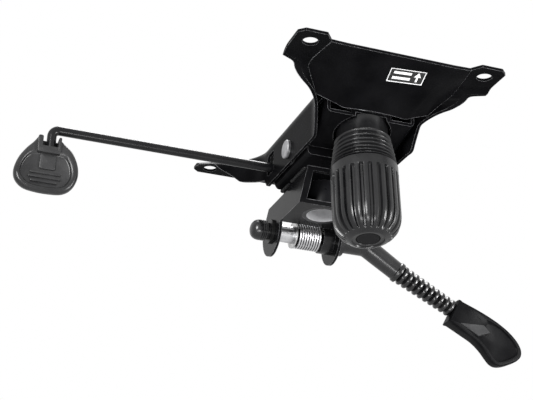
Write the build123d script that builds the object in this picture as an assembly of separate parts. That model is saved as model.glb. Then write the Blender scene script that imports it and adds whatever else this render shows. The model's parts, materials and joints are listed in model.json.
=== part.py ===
# Office chair tilt mechanism: a seat plate that rocks on a base channel over the gas column
# Millimetres, +Z up, front of the chair towards -Y, origin at the centre of the column socket's mouth
import math
import os

from build123d import *

os.makedirs("parts", exist_ok=True)

# Stock and general clearances
sheet = 2.5
overrun = 30.0
seat_gap = 0.3
running_gap = 0.05
quarter = 90.0

# Seat plate: four ears on a drawn pan
seat_face_z = 76.0
bolt_hole_r = 6.25
bolt_pitch_x = 150.0
bolt_pitch_y = 260.0
front_holes_y = -158.0
seat_half_w = 43.4
shoulder_r = 14.0
flare_r = 44.0
flare_turn = 62.0
flare_tail = 36.0
flare_front_y = -80.0
flare_rear_y = 36.0
flange_lap = 4.0
ear_reach = 14.5
ear_rear_reach = 11.0
ear_outer_x = 89.0
ear_nose_x = 66.0
ear_inner_x = 60.0
ear_corner = 5.0
edge_round = 5.0
edge_low_z = 30.7
edge_front_run = 9.5
edge_front_rise_z = 52.2
edge_front_rise_run = 18.5
edge_front_far_z = 60.7
edge_front_far_run = 38.0
edge_ear_run = 48.0
edge_ear_drop = 2.5
edge_rear_run = 9.5
edge_rear_rise_z = 39.7
edge_rear_rise_run = 2.0
edge_rear_far_z = 49.2
edge_rear_far_run = 31.0
edge_rear_ear_run = 47.0
web_front_y = -66.0
column_window_r = 22.0
tail_window_front_y = 52.0
tail_window_rear_y = 88.0
tail_window_half_x = 15.0
window_round = 5.0

# Front apron of the seat plate, from the front edge down to its lip
apron_front_y = -164.5
apron_mid_y = -147.0
apron_low_y = -130.0
apron_end_y = -100.0
apron_front_z = 72.6
apron_mid_z = 67.8
apron_low_z = 59.6
apron_end_z = 42.0
apron_front_flat = 46.0
apron_mid_flat = 40.0
apron_low_flat = 34.0
apron_end_flat = 24.0
apron_side_x = 64.0
apron_front_side_z = 73.2
apron_mid_side_z = 73.4
apron_low_side_z = 72.2
apron_end_side_z = 60.0
apron_fold_r = 12.0
lip_centre_y = -112.0
lip_r = 264.0

# Pivot
pivot_y = -26.0
pivot_z = 44.4
axle_r = 6.0
axle_head_r = 8.2
axle_head_t = 2.6
bush_r = 8.0
bush_flange_r = 13.0

# Base channel
wall_gap = 2.4
base_half_w = seat_half_w - sheet - wall_gap
base_front_y = -104.0
base_front_z = 46.5
base_step_y = -61.5
base_step_top_z = 34.2
base_floor_z = 26.5
base_top_z = 60.0
base_slope_y = 8.0
base_rear_y = 23.0
base_lug_y = 33.0
base_lug_z = 38.0
base_lug_top_z = 55.0
fold_r = 4.0

# Column housing under the base channel
base_ledge = 8.5
housing_half_w = base_half_w - base_ledge
housing_front_y = -40.0
housing_toe_y = -21.0
housing_rear_y = 27.0
housing_ear_z = 23.0
housing_ear_y = 58.0
lobe_r = 22.5
lobe_cheek = 31.0
window_side = 6.0
window_half_w = housing_half_w - window_side
window_low_z = 3.2
window_high_z = 23.5
taper_mouth_r = 14.0
taper_land = 10.0
taper_top_r = 13.1
taper_wall = 3.8
taper_top_z = 34.0

# Tension bolt, spring, boot and knob, on an axis that leans forward at the bottom
knob_y = -87.1
knob_z = 25.8
knob_lean = 7.44
pad_up = 22.0
boot_top_r = 21.6
pad_lip = 2.4
pad_r = boot_top_r + pad_lip
bolt_r = 5.0
bolt_head_r = 8.5
bolt_head_t = 6.0
bolt_clear = 1.2
bolt_end_down = 70.8
anchor_t = 3.0
anchor_top_z = 63.5
anchor_front_y = -101.5
anchor_rear_y = -66.0
anchor_rim = 5.0
anchor_slide = 4.2
weld_gap = 0.1
rocker_t = 2.0
rocker_r = 10.5
rocker_gap = 1.75
spring_wire_r = 2.4
guide_space = 3.6
guide_r = boot_top_r - guide_space
spring_inset = 2.8
spring_mean_r = guide_r - spring_inset
spring_turns = 7.5
guide_t = 3.0
boot_bottom_r = 27.3
boot_bottom_down = 19.2
boot_wall = 1.6
boot_collar = 12.7
boot_rings = 7
boot_ring_depth = 1.5
boot_pitch_share = 0.9
knob_lip = 0.4
knob_r = boot_bottom_r + knob_lip
knob_wall = 3.0
knob_rim_step = 0.5
knob_band = 11.0
knob_bottom_down = 84.0
knob_dome_h = 9.5
knob_dome_bulge_share = 0.72
knob_end_r = 15.0
knob_end_ring = 1.6
knob_end_recess = 1.2
knob_floor_down = 61.0
flute_count = 24
flute_r = 1.7
flute_out = 0.5
flute_foot = 3.5
thrust_t = 3.0
thrust_space = 4.2
thrust_r = knob_r - knob_wall - thrust_space
nut_h = 8.0
nut_flat = 16.0
nut_sink = 1.0
cap_r = 9.6
cap_t = 2.4

# Height lever
lever_y = 18.0
lever_z = 45.3
lever_r = 4.0
lever_tip_x = 12.0
lever_crank_in_x = -7.0
lever_crank_out_x = -27.0
lever_end_x = -238.5
lever_end_z = 28.0
lever_bend_r = 6.0
lever_crank_r = 8.0
lever_slot_front_y = 9.8
lever_slot_rear_y = 26.5
lever_slot_low_z = 39.6
lever_slot_high_z = 60.0
lever_slot_round = 4.0
grommet_r = 7.0
grommet_flange_r = 9.4
grommet_flange_t = 1.6
grommet_slack = 0.75
press_l = 20.0
press_w = 12.0
press_t = 3.0
paddle_t = 8.0
paddle_shift = 1.8
paddle_x = lever_end_x - paddle_shift
paddle_half_w = 27.0
paddle_top_z = 27.5
paddle_bottom_z = -12.5
paddle_corner = 5.5
paddle_rim = 3.4
paddle_dish = 1.5
socket_w = 19.6
socket_t = 13.0
socket_top_z = 39.0
socket_foot = 6.0
socket_round = 4.0
paddle_outline_shares = (
    (-0.78, 0.91),
    (-1.0, 0.29),
    (-0.64, 0.0),
    (0.44, 0.0),
    (0.82, 0.27),
    (1.0, 0.61),
    (0.80, 1.0),
)

# Tilt lock: shaft, lever and pawl
lock_y = 49.5
lock_z = -2.0
lock_rod_r = 5.0
sleeve_r = 7.85
ear_bush_r = 9.0
ear_bush_flange_t = 2.2
ear_bush_flange_r = 11.0
acorn_r = 9.3
acorn_l = 10.0
acorn_collar_r = 7.6
acorn_collar_l = 3.2
acorn_rings = 3
acorn_ring_depth = 0.7
acorn_nose = 4.0
acorn_grip = 9.0
spring_seat_t = 1.2
spring_seat_r = 12.2
return_wire_r = 0.95
return_mean_r = 11.0
return_turns = 9.5
hub_r = 13.0
hub_l = 10.8
hub_x = housing_half_w - sheet - seat_gap - hub_l
pawl_inset = 8.6
pawl_x = housing_half_w - sheet - seat_gap - pawl_inset
spring_space = 26.0
spring_seat_x = hub_x - spring_space
sleeve_short = 18.4
sleeve_end_x = hub_x - sleeve_short
pawl_t = 6.0
pawl_w = 10.0
pawl_over = 5.0
pawl_tooth_root = 4.4
pawl_tooth_tip = 3.0
pawl_tooth_short = 1.05
pawl_reach = 36.0
lock_turn_max = 15.0
notch_step = 6.0
notch_count = 3
notch_w = 6.2
notch_depth = 5.6
notch_clear = 0.7
sector_t = 5.0
sector_back = 15.0
sector_over = 6.5
sector_flange_w = 16.0
collar_r = 12.6
collar_l = 5.5
collar_end_x = housing_half_w + ear_bush_flange_t + seat_gap + collar_l
elbow_run = 16.0
elbow_x = collar_end_x + elbow_run
elbow_r = 9.3
elbow_bend_r = 26.0
elbow_droop = 27.0
elbow_grip_start = 21.0
elbow_end = 48.0
elbow_ribs = 12
elbow_rib_depth = 0.9
neck_end = 107.0
neck_r = 9.4
neck_tip_r = 8.2
neck_ribs = 10
neck_rib_depth = 2.4
lock_rod_end = 120.0
lock_paddle_end = 185.0
lock_paddle_t = 15.0
lock_paddle_tip_t = 8.0
lock_paddle_w = 34.0
lock_paddle_corner = 3.4
lock_paddle_rim = 3.6
lock_paddle_dish = 1.5
lock_paddle_dish_start = 22.0
lock_paddle_outline_shares = (
    (0.0, 0.28),
    (0.44, 0.36),
    (0.82, 0.35),
    (1.0, 0.13),
    (1.0, -0.12),
    (0.80, -0.71),
    (0.66, -0.69),
    (0.36, -0.47),
    (0.0, -0.44),
)
rib_shape_shares = ((0.0, 0.0), (0.28, 0.85), (0.5, 1.0), (0.72, 0.85))


def block(x0, x1, y0, y1, z0, z1):
    """A box between two corners."""
    centre = Pos((x0 + x1) / 2, (y0 + y1) / 2, (z0 + z1) / 2)
    return centre * Box(x1 - x0, y1 - y0, z1 - z0)


def disc_x(radius, x0, x1, y, z):
    """A round bar along X."""
    return Pos((x0 + x1) / 2, y, z) * Rot(0, quarter, 0) * Cylinder(radius, x1 - x0)


def disc_z(radius, x, y, z0, z1):
    """A round bar along Z."""
    return Pos(x, y, (z0 + z1) / 2) * Cylinder(radius, z1 - z0)


def closed_face(*lines):
    """A flat face inside a ring of lines, arcs and polylines."""
    return make_face([edge for line in lines for edge in line.edges()])


def side_prism(points, half_width):
    """A side outline in Y and Z, made solid to both sides of the middle."""
    face = closed_face(Polyline(*points, close=True))
    return extrude(Plane.YZ * face, amount=half_width, both=True)


def rounded_slot(x0, x1, y0, y1, z0, z1, radius):
    """A box with its four upright corners rounded."""
    plan = Pos((x0 + x1) / 2, (y0 + y1) / 2, z0) * RectangleRounded(x1 - x0, y1 - y0, radius)
    return extrude(plan, amount=z1 - z0)


def mirrored(shape):
    """The shape and its twin on the other side of the middle."""
    return shape + mirror(shape, about=Plane.YZ)


def pair(shape):
    """Two like pieces, one on each side of the middle."""
    return Compound(children=[shape.solid(), mirror(shape, about=Plane.YZ).solid()])


def save(shape, node):
    """Write one piece, or a group of like pieces, as a STEP file."""
    found = shape.solids()
    plain = found[0] if len(found) == 1 else Compound(children=list(found))
    export_step(plain, os.path.join("parts", node + ".step"))


# Axis of the knob: local Z points up along the bolt
knob_frame = Pos(0, knob_y, knob_z) * Rot(-knob_lean, 0, 0)
lean_sin = math.sin(math.radians(knob_lean))
lean_cos = math.cos(math.radians(knob_lean))


def turned(points):
    """A solid of revolution about local Z from radius and height pairs."""
    face = closed_face(Polyline(*points, close=True))
    return revolve(Plane.XZ * face, Axis.Z)


def rib_levels(start, pitches, radii, depth):
    """Radius and height pairs of ribs along Z, four circles to each rib."""
    levels = []
    height = start
    last = len(pitches)
    for number, pitch in enumerate(pitches):
        for place_share, swell_share in rib_shape_shares:
            along = (number + place_share) / last
            crest = radii[0] + (radii[1] - radii[0]) * along
            levels.append((crest - depth * (1 - swell_share), height + pitch * place_share))
        height += pitch
    levels.append((radii[1] - depth, height))
    return levels


def ring_loft(levels):
    """A ruled loft through circles that stand on Z."""
    rings = [Pos(0, 0, height) * Circle(radius) for radius, height in levels]
    return loft(rings, ruled=True)


def helix_point(radius, pitch, angle):
    """A point of a helix about Z and the unit direction of travel there."""
    point = Vector(radius * math.cos(angle), radius * math.sin(angle), pitch * angle / math.tau)
    heading = Vector(-radius * math.sin(angle), radius * math.cos(angle), pitch / math.tau)
    return point, heading.normalized()


def biarc(start, heading, end, end_heading):
    """Two arcs that leave start along heading and reach end along end_heading."""
    chord = end - start
    lean = heading.dot(end_heading) - 1
    spread = chord.dot(heading + end_heading)
    root = math.sqrt(spread * spread - 2 * lean * chord.dot(chord))
    reach = (spread - root) / (2 * lean)
    first = start + heading * reach
    second = end - end_heading * reach
    middle = (first + second) / 2
    middle_heading = (second - first).normalized()
    return [TangentArc(start, middle, tangent=heading), TangentArc(middle, end, tangent=middle_heading)]


def coil(radius, wire_r, turns, length, name):
    """A spring of round wire that stands on Z: straight ends, and half turns on biarcs."""
    end_turns = 2 * wire_r / (math.tau * radius)
    pitch = (length - 2 * wire_r) / (turns + 2 * end_turns)
    halves = round(turns * 2)
    point, heading = helix_point(radius, pitch, 0)
    start = Plane(origin=point - heading * (2 * wire_r), z_dir=heading)
    edges = [Line(point - heading * (2 * wire_r), point)]
    for number in range(halves):
        next_point, next_heading = helix_point(radius, pitch, math.pi * (number + 1))
        edges += biarc(point, heading, next_point, next_heading)
        point = next_point
        heading = next_heading
    edges.append(Line(point, point + heading * (2 * wire_r)))
    path = Wire([edge.edge() for edge in edges])
    solid = sweep(start * Circle(wire_r), path=path)
    clear = math.inf
    samples = 24
    for number in range(samples):
        here, _ = helix_point(radius, pitch, math.tau * number / samples)
        above, _ = helix_point(radius, pitch, math.tau * (number + samples) / samples)
        clear = min(clear, (above - here).length - 2 * wire_r)
    print(name, "least gap between turns", round(clear, 3), "mm")
    return Pos(0, 0, wire_r + pitch * end_turns) * solid


# Seat plate: plan of the left wall, an inset further in for what lies beside it
turn = math.radians(flare_turn)
flare_x = -(seat_half_w + flare_r)
ear_under_z = seat_face_z - sheet
seam = shoulder_r + flange_lap / 2
front_edge_y = front_holes_y - ear_reach
rear_holes_y = front_holes_y + bolt_pitch_y
rear_edge_y = rear_holes_y + ear_rear_reach
seat_inner_x = seat_half_w - sheet


def flare_end(inset, centre_y, way):
    """Where the bend of the plan ends, at an inset from the wall's outer face."""
    reach = flare_r + inset
    return Vector(flare_x + reach * math.cos(turn), centre_y + way * reach * math.sin(turn))


def flare_at(inset, centre_y, way, x):
    """The point of the straight tail of the plan at a given X."""
    end = flare_end(inset, centre_y, way)
    run = (end.X - x) / math.sin(turn)
    return Vector(x, end.Y + way * run * math.cos(turn))


def seat_wall():
    """Left wall: a drawn shoulder and a side that follows the plan, trimmed along its lower edge."""
    front_bend = flare_end(0, flare_front_y, -1)
    rear_bend = flare_end(0, flare_rear_y, 1)
    tail_x = front_bend.X - flare_tail * math.sin(turn)
    front_end = flare_at(0, flare_front_y, -1, tail_x)
    rear_end = flare_at(0, flare_rear_y, 1, tail_x)
    edges = [
        Line(front_end, front_bend),
        CenterArc((flare_x, flare_front_y), flare_r, -flare_turn, flare_turn),
        Line((-seat_half_w, flare_front_y), (-seat_half_w, flare_rear_y)),
        CenterArc((flare_x, flare_rear_y), flare_r, 0, flare_turn),
        Line(rear_bend, rear_end),
    ]
    path = Wire([edge.edge() for edge in edges])
    heading = (front_bend - front_end).normalized()
    inward = Vector(heading.Y, -heading.X)
    plane = Plane(origin=front_end, x_dir=inward, z_dir=-heading)
    turn_z = seat_face_z - shoulder_r
    foot_z = edge_low_z - sheet
    lap = shoulder_r + flange_lap
    outline = closed_face(
        Line((0, foot_z), (0, turn_z)),
        CenterArc((shoulder_r, turn_z), shoulder_r, quarter, quarter),
        Line((shoulder_r, seat_face_z), (lap, seat_face_z)),
        Line((lap, seat_face_z), (lap, ear_under_z)),
        Line((lap, ear_under_z), (shoulder_r, ear_under_z)),
        CenterArc((shoulder_r, turn_z), shoulder_r - sheet, quarter, quarter),
        Line((sheet, turn_z), (sheet, foot_z)),
        Line((sheet, foot_z), (0, foot_z)),
    )
    swept = sweep(plane * outline, path=path)
    ear_edge_z = ear_under_z - edge_ear_drop
    front_y = front_edge_y - overrun
    rear_y = rear_edge_y + overrun
    lid_z = seat_face_z + overrun
    edge_line = FilletPolyline(
        (front_y, ear_edge_z),
        (flare_front_y - edge_ear_run, ear_edge_z),
        (flare_front_y - edge_front_far_run, edge_front_far_z),
        (flare_front_y - edge_front_rise_run, edge_front_rise_z),
        (flare_front_y - edge_front_run, edge_low_z),
        (flare_rear_y - edge_rear_run, edge_low_z),
        (flare_rear_y - edge_rear_rise_run, edge_rear_rise_z),
        (flare_rear_y + edge_rear_far_run, edge_rear_far_z),
        (flare_rear_y + edge_rear_ear_run, ear_edge_z),
        (rear_y, ear_edge_z),
        radius=edge_round,
    )
    lid = Polyline((rear_y, ear_edge_z), (rear_y, lid_z), (front_y, lid_z), (front_y, ear_edge_z))
    keep = extrude(Plane.YZ * closed_face(edge_line, lid), amount=ear_outer_x, both=True)
    return swept & keep


def seat_flat():
    """Left half of the flat: the front ear, and the web with the rear ear."""
    bend = flare_end(seam, flare_front_y, -1)
    corner = flare_at(seam, flare_front_y, -1, -ear_outer_x)
    ear_line = Polyline(
        (-ear_inner_x, apron_front_y),
        (-ear_nose_x, front_edge_y),
        (ear_corner - ear_outer_x, front_edge_y),
        (-ear_outer_x, front_edge_y + ear_corner),
        (corner.X, corner.Y),
        (bend.X, bend.Y),
        close=True,
    )
    rear_bend = flare_end(seam, flare_rear_y, 1)
    rear_corner = flare_at(seam, flare_rear_y, 1, -ear_outer_x)
    web_x = seam - seat_half_w
    web = closed_face(
        Line((0, web_front_y), (web_x, web_front_y)),
        Line((web_x, web_front_y), (web_x, flare_rear_y)),
        CenterArc((flare_x, flare_rear_y), flare_r + seam, 0, flare_turn),
        Line((rear_bend.X, rear_bend.Y), (rear_corner.X, rear_corner.Y)),
        Line((rear_corner.X, rear_corner.Y), (-ear_outer_x, rear_edge_y - ear_corner)),
        Line((-ear_outer_x, rear_edge_y - ear_corner), (ear_corner - ear_outer_x, rear_edge_y)),
        Line((ear_corner - ear_outer_x, rear_edge_y), (0, rear_edge_y)),
        Line((0, rear_edge_y), (0, web_front_y)),
    )
    low = Pos(0, 0, ear_under_z)
    return extrude(low * closed_face(ear_line), amount=sheet), extrude(low * web, amount=sheet)


def apron_section(y, z, flat, side_z):
    """One cross-section of the apron: flat in the middle, rising to both sides."""
    low = FilletPolyline(
        (-apron_side_x, side_z), (-flat, z), (flat, z), (apron_side_x, side_z), radius=apron_fold_r
    )
    high = FilletPolyline(
        (apron_side_x, side_z + sheet),
        (flat, z + sheet),
        (-flat, z + sheet),
        (-apron_side_x, side_z + sheet),
        radius=apron_fold_r,
    )
    left = Line((-apron_side_x, side_z + sheet), (-apron_side_x, side_z))
    right = Line((apron_side_x, side_z), (apron_side_x, side_z + sheet))
    place = Plane(origin=(0, y, 0), x_dir=(1, 0, 0), z_dir=(0, -1, 0))
    return place * closed_face(low, right, high, left)


def seat_apron():
    """The dished apron, kept inside the ears and the walls and cut along its lip."""
    dish = loft(
        [
            apron_section(apron_front_y, apron_front_z, apron_front_flat, apron_front_side_z),
            apron_section(apron_mid_y, apron_mid_z, apron_mid_flat, apron_mid_side_z),
            apron_section(apron_low_y, apron_low_z, apron_low_flat, apron_low_side_z),
            apron_section(apron_end_y, apron_end_z, apron_end_flat, apron_end_side_z),
        ]
    )
    ear_side = flare_at(seam, flare_front_y, -1, -apron_side_x)
    wall_bend = flare_end(sheet / 2, flare_front_y, -1)
    wall_r = flare_r + sheet / 2
    rear_x = flare_x + wall_r
    plan = closed_face(
        Line((0, apron_front_y), (-ear_inner_x, apron_front_y)),
        Line((-ear_inner_x, apron_front_y), (ear_side.X, ear_side.Y)),
        Line((ear_side.X, ear_side.Y), (wall_bend.X, wall_bend.Y)),
        CenterArc((flare_x, flare_front_y), wall_r, -flare_turn, flare_turn),
        Line((rear_x, flare_front_y), (0, flare_front_y)),
        Line((0, flare_front_y), (0, apron_front_y)),
    )
    half = extrude(plan, amount=seat_face_z + overrun)
    lip = disc_z(lip_r, 0, lip_centre_y + lip_r, 0, seat_face_z + overrun)
    return (dish & mirrored(half)) - lip


ear_plate, web_plate = seat_flat()
half_seat = seat_wall() + ear_plate + web_plate
cut_low = ear_under_z - sheet
cut_high = seat_face_z + overrun
for hole_y in (front_holes_y, rear_holes_y):
    half_seat -= disc_z(bolt_hole_r, -bolt_pitch_x / 2, hole_y, cut_low, cut_high)
half_seat -= disc_x(bush_r, -ear_outer_x, 0, pivot_y, pivot_z)
seat_plate = mirrored(half_seat) + seat_apron()
seat_plate -= disc_z(column_window_r, 0, 0, cut_low, cut_high)
seat_plate -= rounded_slot(
    -tail_window_half_x,
    tail_window_half_x,
    tail_window_front_y,
    tail_window_rear_y,
    cut_low,
    cut_high,
    window_round,
)
slot_y = (lever_slot_front_y + lever_slot_rear_y) / 2
slot_z = (lever_slot_low_z + lever_slot_high_z) / 2
slot_face = RectangleRounded(
    lever_slot_rear_y - lever_slot_front_y, lever_slot_high_z - lever_slot_low_z, lever_slot_round
)
slot_place = Plane(origin=(sheet - seat_inner_x, slot_y, slot_z), x_dir=(0, 1, 0), z_dir=(1, 0, 0))
seat_plate -= extrude(slot_place * slot_face, amount=-3 * sheet)
save(seat_plate, "seat_plate")

# Cross bracket that the tension bolt pulls on, with a slot for the bolt's rocking
anchor_low_z = anchor_top_z - anchor_t
anchor_half_w = seat_inner_x - weld_gap
anchor_mid_up = ((anchor_top_z + anchor_low_z) / 2 - knob_z) / lean_cos
anchor_hole_y = knob_y + anchor_mid_up * lean_sin
bolt_hole = bolt_r + bolt_clear
bracket = block(-anchor_half_w, anchor_half_w, anchor_front_y, anchor_rear_y, anchor_low_z, anchor_top_z)
rim_half_w = anchor_half_w - shoulder_r
for rim_y in (anchor_front_y, anchor_rear_y - sheet):
    bracket += block(-rim_half_w, rim_half_w, rim_y, rim_y + sheet, anchor_top_z, anchor_top_z + anchor_rim)
for hole_y in (anchor_hole_y, anchor_hole_y - anchor_slide):
    bracket -= disc_z(bolt_hole, 0, hole_y, anchor_low_z - sheet, anchor_top_z + sheet)
bracket -= block(
    -bolt_hole,
    bolt_hole,
    anchor_hole_y - anchor_slide,
    anchor_hole_y,
    anchor_low_z - sheet,
    anchor_top_z + sheet,
)
save(bracket, "bolt_bridge")

# Toothed sector under the seat web, about the pivot
shaft_dy = lock_y - pivot_y
shaft_dz = lock_z - pivot_z
shaft_far = math.hypot(shaft_dy, shaft_dz)
pawl_far = math.sqrt(shaft_far * shaft_far - pawl_reach * pawl_reach)
tooth_turn = math.atan2(shaft_dz, shaft_dy) + math.acos(pawl_far / shaft_far)
sector_r = pawl_far - pawl_w / 2 - notch_clear
sector_inner_r = sector_r - sector_back
sector_low = tooth_turn - sector_over / sector_r


def about_pivot(radius, angle):
    """A point in Y and Z at a radius and an angle from the pivot."""
    return pivot_y + radius * math.cos(angle), pivot_z + radius * math.sin(angle)


def pivot_arc(radius, start, end):
    """An arc in Y and Z about the pivot."""
    middle = (start + end) / 2
    return ThreePointArc(about_pivot(radius, start), about_pivot(radius, middle), about_pivot(radius, end))


outer_top = math.asin((ear_under_z - pivot_z) / sector_r)
inner_top = math.asin((ear_under_z - pivot_z) / sector_inner_r)
sector_face = closed_face(
    pivot_arc(sector_r, sector_low, outer_top),
    Line(about_pivot(sector_r, outer_top), about_pivot(sector_inner_r, inner_top)),
    pivot_arc(sector_inner_r, inner_top, sector_low),
    Line(about_pivot(sector_inner_r, sector_low), about_pivot(sector_r, sector_low)),
)
sector_x = pawl_x + (pawl_t - sector_t) / 2
sector = Pos(sector_x, 0, 0) * extrude(Plane.YZ * sector_face, amount=sector_t)
for number in range(notch_count):
    notch = Box(3 * sector_t, 2 * notch_depth, notch_w)
    notch_turn = Rot(math.degrees(tooth_turn) + notch_step * number, 0, 0)
    sector -= Pos(sector_x, pivot_y, pivot_z) * notch_turn * Pos(0, sector_r, 0) * notch
flange_end_x = sector_x + sector_t
flange_front_y = about_pivot(sector_inner_r, inner_top)[0]
flange_rear_y = about_pivot(sector_r, outer_top)[0]
sector += block(
    flange_end_x - sector_flange_w, flange_end_x, flange_front_y, flange_rear_y, ear_under_z - sheet, ear_under_z
)
save(sector, "lock_sector")

# Base channel: open at the top, with a round spring pad pressed up through its sloping front
base_side = [
    (base_front_y, base_front_z),
    (base_step_y, base_step_top_z),
    (base_step_y, base_floor_z),
    (base_rear_y - fold_r, base_floor_z),
    (base_rear_y, base_floor_z + fold_r),
    (base_rear_y, base_lug_z),
    (base_lug_y, base_lug_z),
    (base_lug_y, base_lug_top_z),
    (base_slope_y, base_top_z),
    (base_front_y, base_top_z),
]
front_slope = (base_front_z - base_step_top_z) / (base_step_y - base_front_y)
void_front_y = base_front_y - overrun
slope_rise = sheet * math.hypot(1, front_slope)
base_void = [
    (void_front_y, base_front_z + overrun * front_slope + slope_rise),
    (base_step_y + sheet, base_step_top_z - sheet * front_slope + slope_rise),
    (base_step_y + sheet, base_floor_z + sheet),
    (base_lug_y + overrun, base_floor_z + sheet),
    (base_lug_y + overrun, base_top_z + overrun),
    (void_front_y, base_top_z + overrun),
]
base_outer = side_prism(base_side, base_half_w)
fold_edges = [
    edge
    for edge in base_outer.edges()
    if abs(abs(edge.center().X) - base_half_w) < running_gap
    and edge.center().Z < base_front_z
    and edge.center().Y < base_rear_y
    and abs(edge.tangent_at(1 / 2).Y) > 1 / 2
]
base_outer = fillet(fold_edges, fold_r)
recess = knob_frame * disc_z(pad_r, 0, 0, -overrun, pad_up)
cup = knob_frame * disc_z(pad_r + sheet, 0, 0, -overrun, pad_up + sheet)
base = base_outer - side_prism(base_void, base_half_w - sheet)
base += cup & base_outer
base -= recess
base -= knob_frame * disc_z(bolt_hole, 0, 0, 0, pad_up + overrun)
base -= disc_x(axle_r, -ear_outer_x, ear_outer_x, pivot_y, pivot_z)
base -= disc_x(grommet_r, -ear_outer_x, 0, lever_y, lever_z)
taper_outer_r = taper_mouth_r + taper_wall
base -= disc_z(taper_outer_r, 0, 0, base_floor_z - sheet, base_floor_z + 2 * sheet)
save(base, "base_channel")

# Column housing: a folded box with a sloping front wall, and two ears for the lock shaft
cheek = math.radians(lobe_cheek)
housing_side = [
    (housing_front_y, base_floor_z),
    (housing_toe_y, 0),
    (housing_rear_y, 0),
    (lock_y, lock_z),
    (lock_y + lobe_r * math.cos(cheek), lock_z + lobe_r * math.sin(cheek)),
    (housing_ear_y, housing_ear_z),
    (base_rear_y - fold_r, housing_ear_z),
    (base_rear_y - fold_r, base_floor_z),
]
slope_run = (housing_toe_y - housing_front_y) / base_floor_z
slope_skip = sheet * math.hypot(1, slope_run)
far_rear_y = lock_y + 2 * lobe_r
housing_void = [
    (housing_front_y + slope_skip - overrun * slope_run, base_floor_z + overrun),
    (housing_toe_y + slope_skip - sheet * slope_run, sheet),
    (far_rear_y, sheet),
    (far_rear_y, base_floor_z + overrun),
]
housing_inner_x = housing_half_w - sheet
housing = side_prism(housing_side, housing_half_w)
housing += disc_x(lobe_r, -housing_half_w, housing_half_w, lock_y, lock_z)
housing -= side_prism(housing_void, housing_inner_x)
housing -= block(
    -housing_inner_x, housing_inner_x, housing_rear_y, far_rear_y, lock_z - 2 * lobe_r, base_floor_z
)
housing -= block(
    -window_half_w, window_half_w, housing_front_y - overrun, housing_toe_y, window_low_z, window_high_z
)
housing -= disc_z(taper_outer_r, 0, 0, -sheet, 2 * sheet)
housing -= disc_x(ear_bush_r, -ear_outer_x, ear_outer_x, lock_y, lock_z)
save(housing, "column_housing")

# Column socket: a straight land at the mouth, then a slow taper for the gas column
socket = turned(
    [
        (taper_mouth_r, 0),
        (taper_outer_r, 0),
        (taper_outer_r, taper_top_z),
        (taper_top_r, taper_top_z),
        (taper_mouth_r, taper_land),
    ]
)
save(socket, "taper_bush")

# Pivot axle with a head outside each seat wall, and flanged bushes in the seat walls
head_x = seat_half_w + seat_gap
axle = disc_x(axle_r, -head_x, head_x, pivot_y, pivot_z)
head = disc_x(axle_head_r, head_x, head_x + axle_head_t, pivot_y, pivot_z)
head = chamfer(head.edges().group_by(Axis.X)[-1], axle_head_t / 4)
save(axle + mirrored(head), "pivot_axle")
bush = disc_x(bush_r, seat_inner_x, seat_half_w, pivot_y, pivot_z)
bush += disc_x(bush_flange_r, base_half_w + seat_gap, seat_inner_x, pivot_y, pivot_z)
bush -= disc_x(axle_r + running_gap, 0, ear_outer_x, pivot_y, pivot_z)
save(pair(bush), "pivot_bushes")

# Tension bolt, hung on the bracket by a rocker washer
rocker_up = (anchor_top_z - knob_z) / lean_cos + rocker_gap
head_up = rocker_up + rocker_t
bolt = disc_z(bolt_r, 0, 0, -bolt_end_down, head_up)
bolt = chamfer(bolt.edges().group_by(Axis.Z)[0], bolt_r / 5)
bolt += Pos(0, 0, head_up) * extrude(RegularPolygon(bolt_head_r, 6), amount=bolt_head_t)
save(knob_frame * bolt, "tension_bolt")
rocker = disc_z(rocker_r, 0, 0, rocker_up, head_up)
rocker = fillet(rocker.edges().group_by(Axis.Z)[0], rocker_t / 2)
rocker -= disc_z(bolt_r + running_gap, 0, 0, -overrun, head_up + overrun)
save(knob_frame * rocker, "rocker_washer")

# Spring guide under the pad, tension spring and thrust washer
guide = disc_z(guide_r, 0, 0, pad_up - guide_t, pad_up)
guide += disc_z(spring_mean_r - spring_wire_r - seat_gap, 0, 0, pad_up - 2 * guide_t, pad_up)
guide -= disc_z(bolt_hole, 0, 0, -overrun, pad_up + overrun)
save(knob_frame * guide, "spring_guide")
thrust_top = thrust_t - knob_floor_down + running_gap
thrust = disc_z(thrust_r, 0, 0, thrust_top - thrust_t, thrust_top)
thrust -= disc_z(bolt_r + running_gap, 0, 0, -knob_bottom_down, overrun)
save(knob_frame * thrust, "thrust_washer")
spring_low = thrust_top + seat_gap
spring_high = pad_up - guide_t - seat_gap
spring = coil(spring_mean_r, spring_wire_r, spring_turns, spring_high - spring_low, "tension spring")
save(knob_frame * Pos(0, 0, spring_low) * spring, "tension_spring")

# Bellows boot between the pad and the knob: a plain collar, then rings that close up downwards
boot_top = pad_up - seat_gap
collar_end = boot_top - boot_collar
boot_run = boot_top + boot_bottom_down
ring_run = collar_end + boot_bottom_down
pitch_sum = sum(boot_pitch_share**number for number in range(boot_rings))
pitches = [-ring_run * boot_pitch_share**number / pitch_sum for number in range(boot_rings)]
ring_top_r = boot_top_r + (boot_bottom_r - boot_top_r) * boot_collar / boot_run
levels = [(boot_top_r, boot_top)]
levels += rib_levels(collar_end, pitches, (ring_top_r, boot_bottom_r), boot_ring_depth)
boot = ring_loft(levels)
bore_top_r = boot_top_r - boot_ring_depth - boot_wall
bore_low_r = boot_bottom_r - boot_ring_depth - boot_wall
boot -= Pos(0, 0, (boot_top - boot_bottom_down) / 2) * Cone(bore_low_r, bore_top_r, boot_run)
save(knob_frame * boot, "spring_boot")

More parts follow.
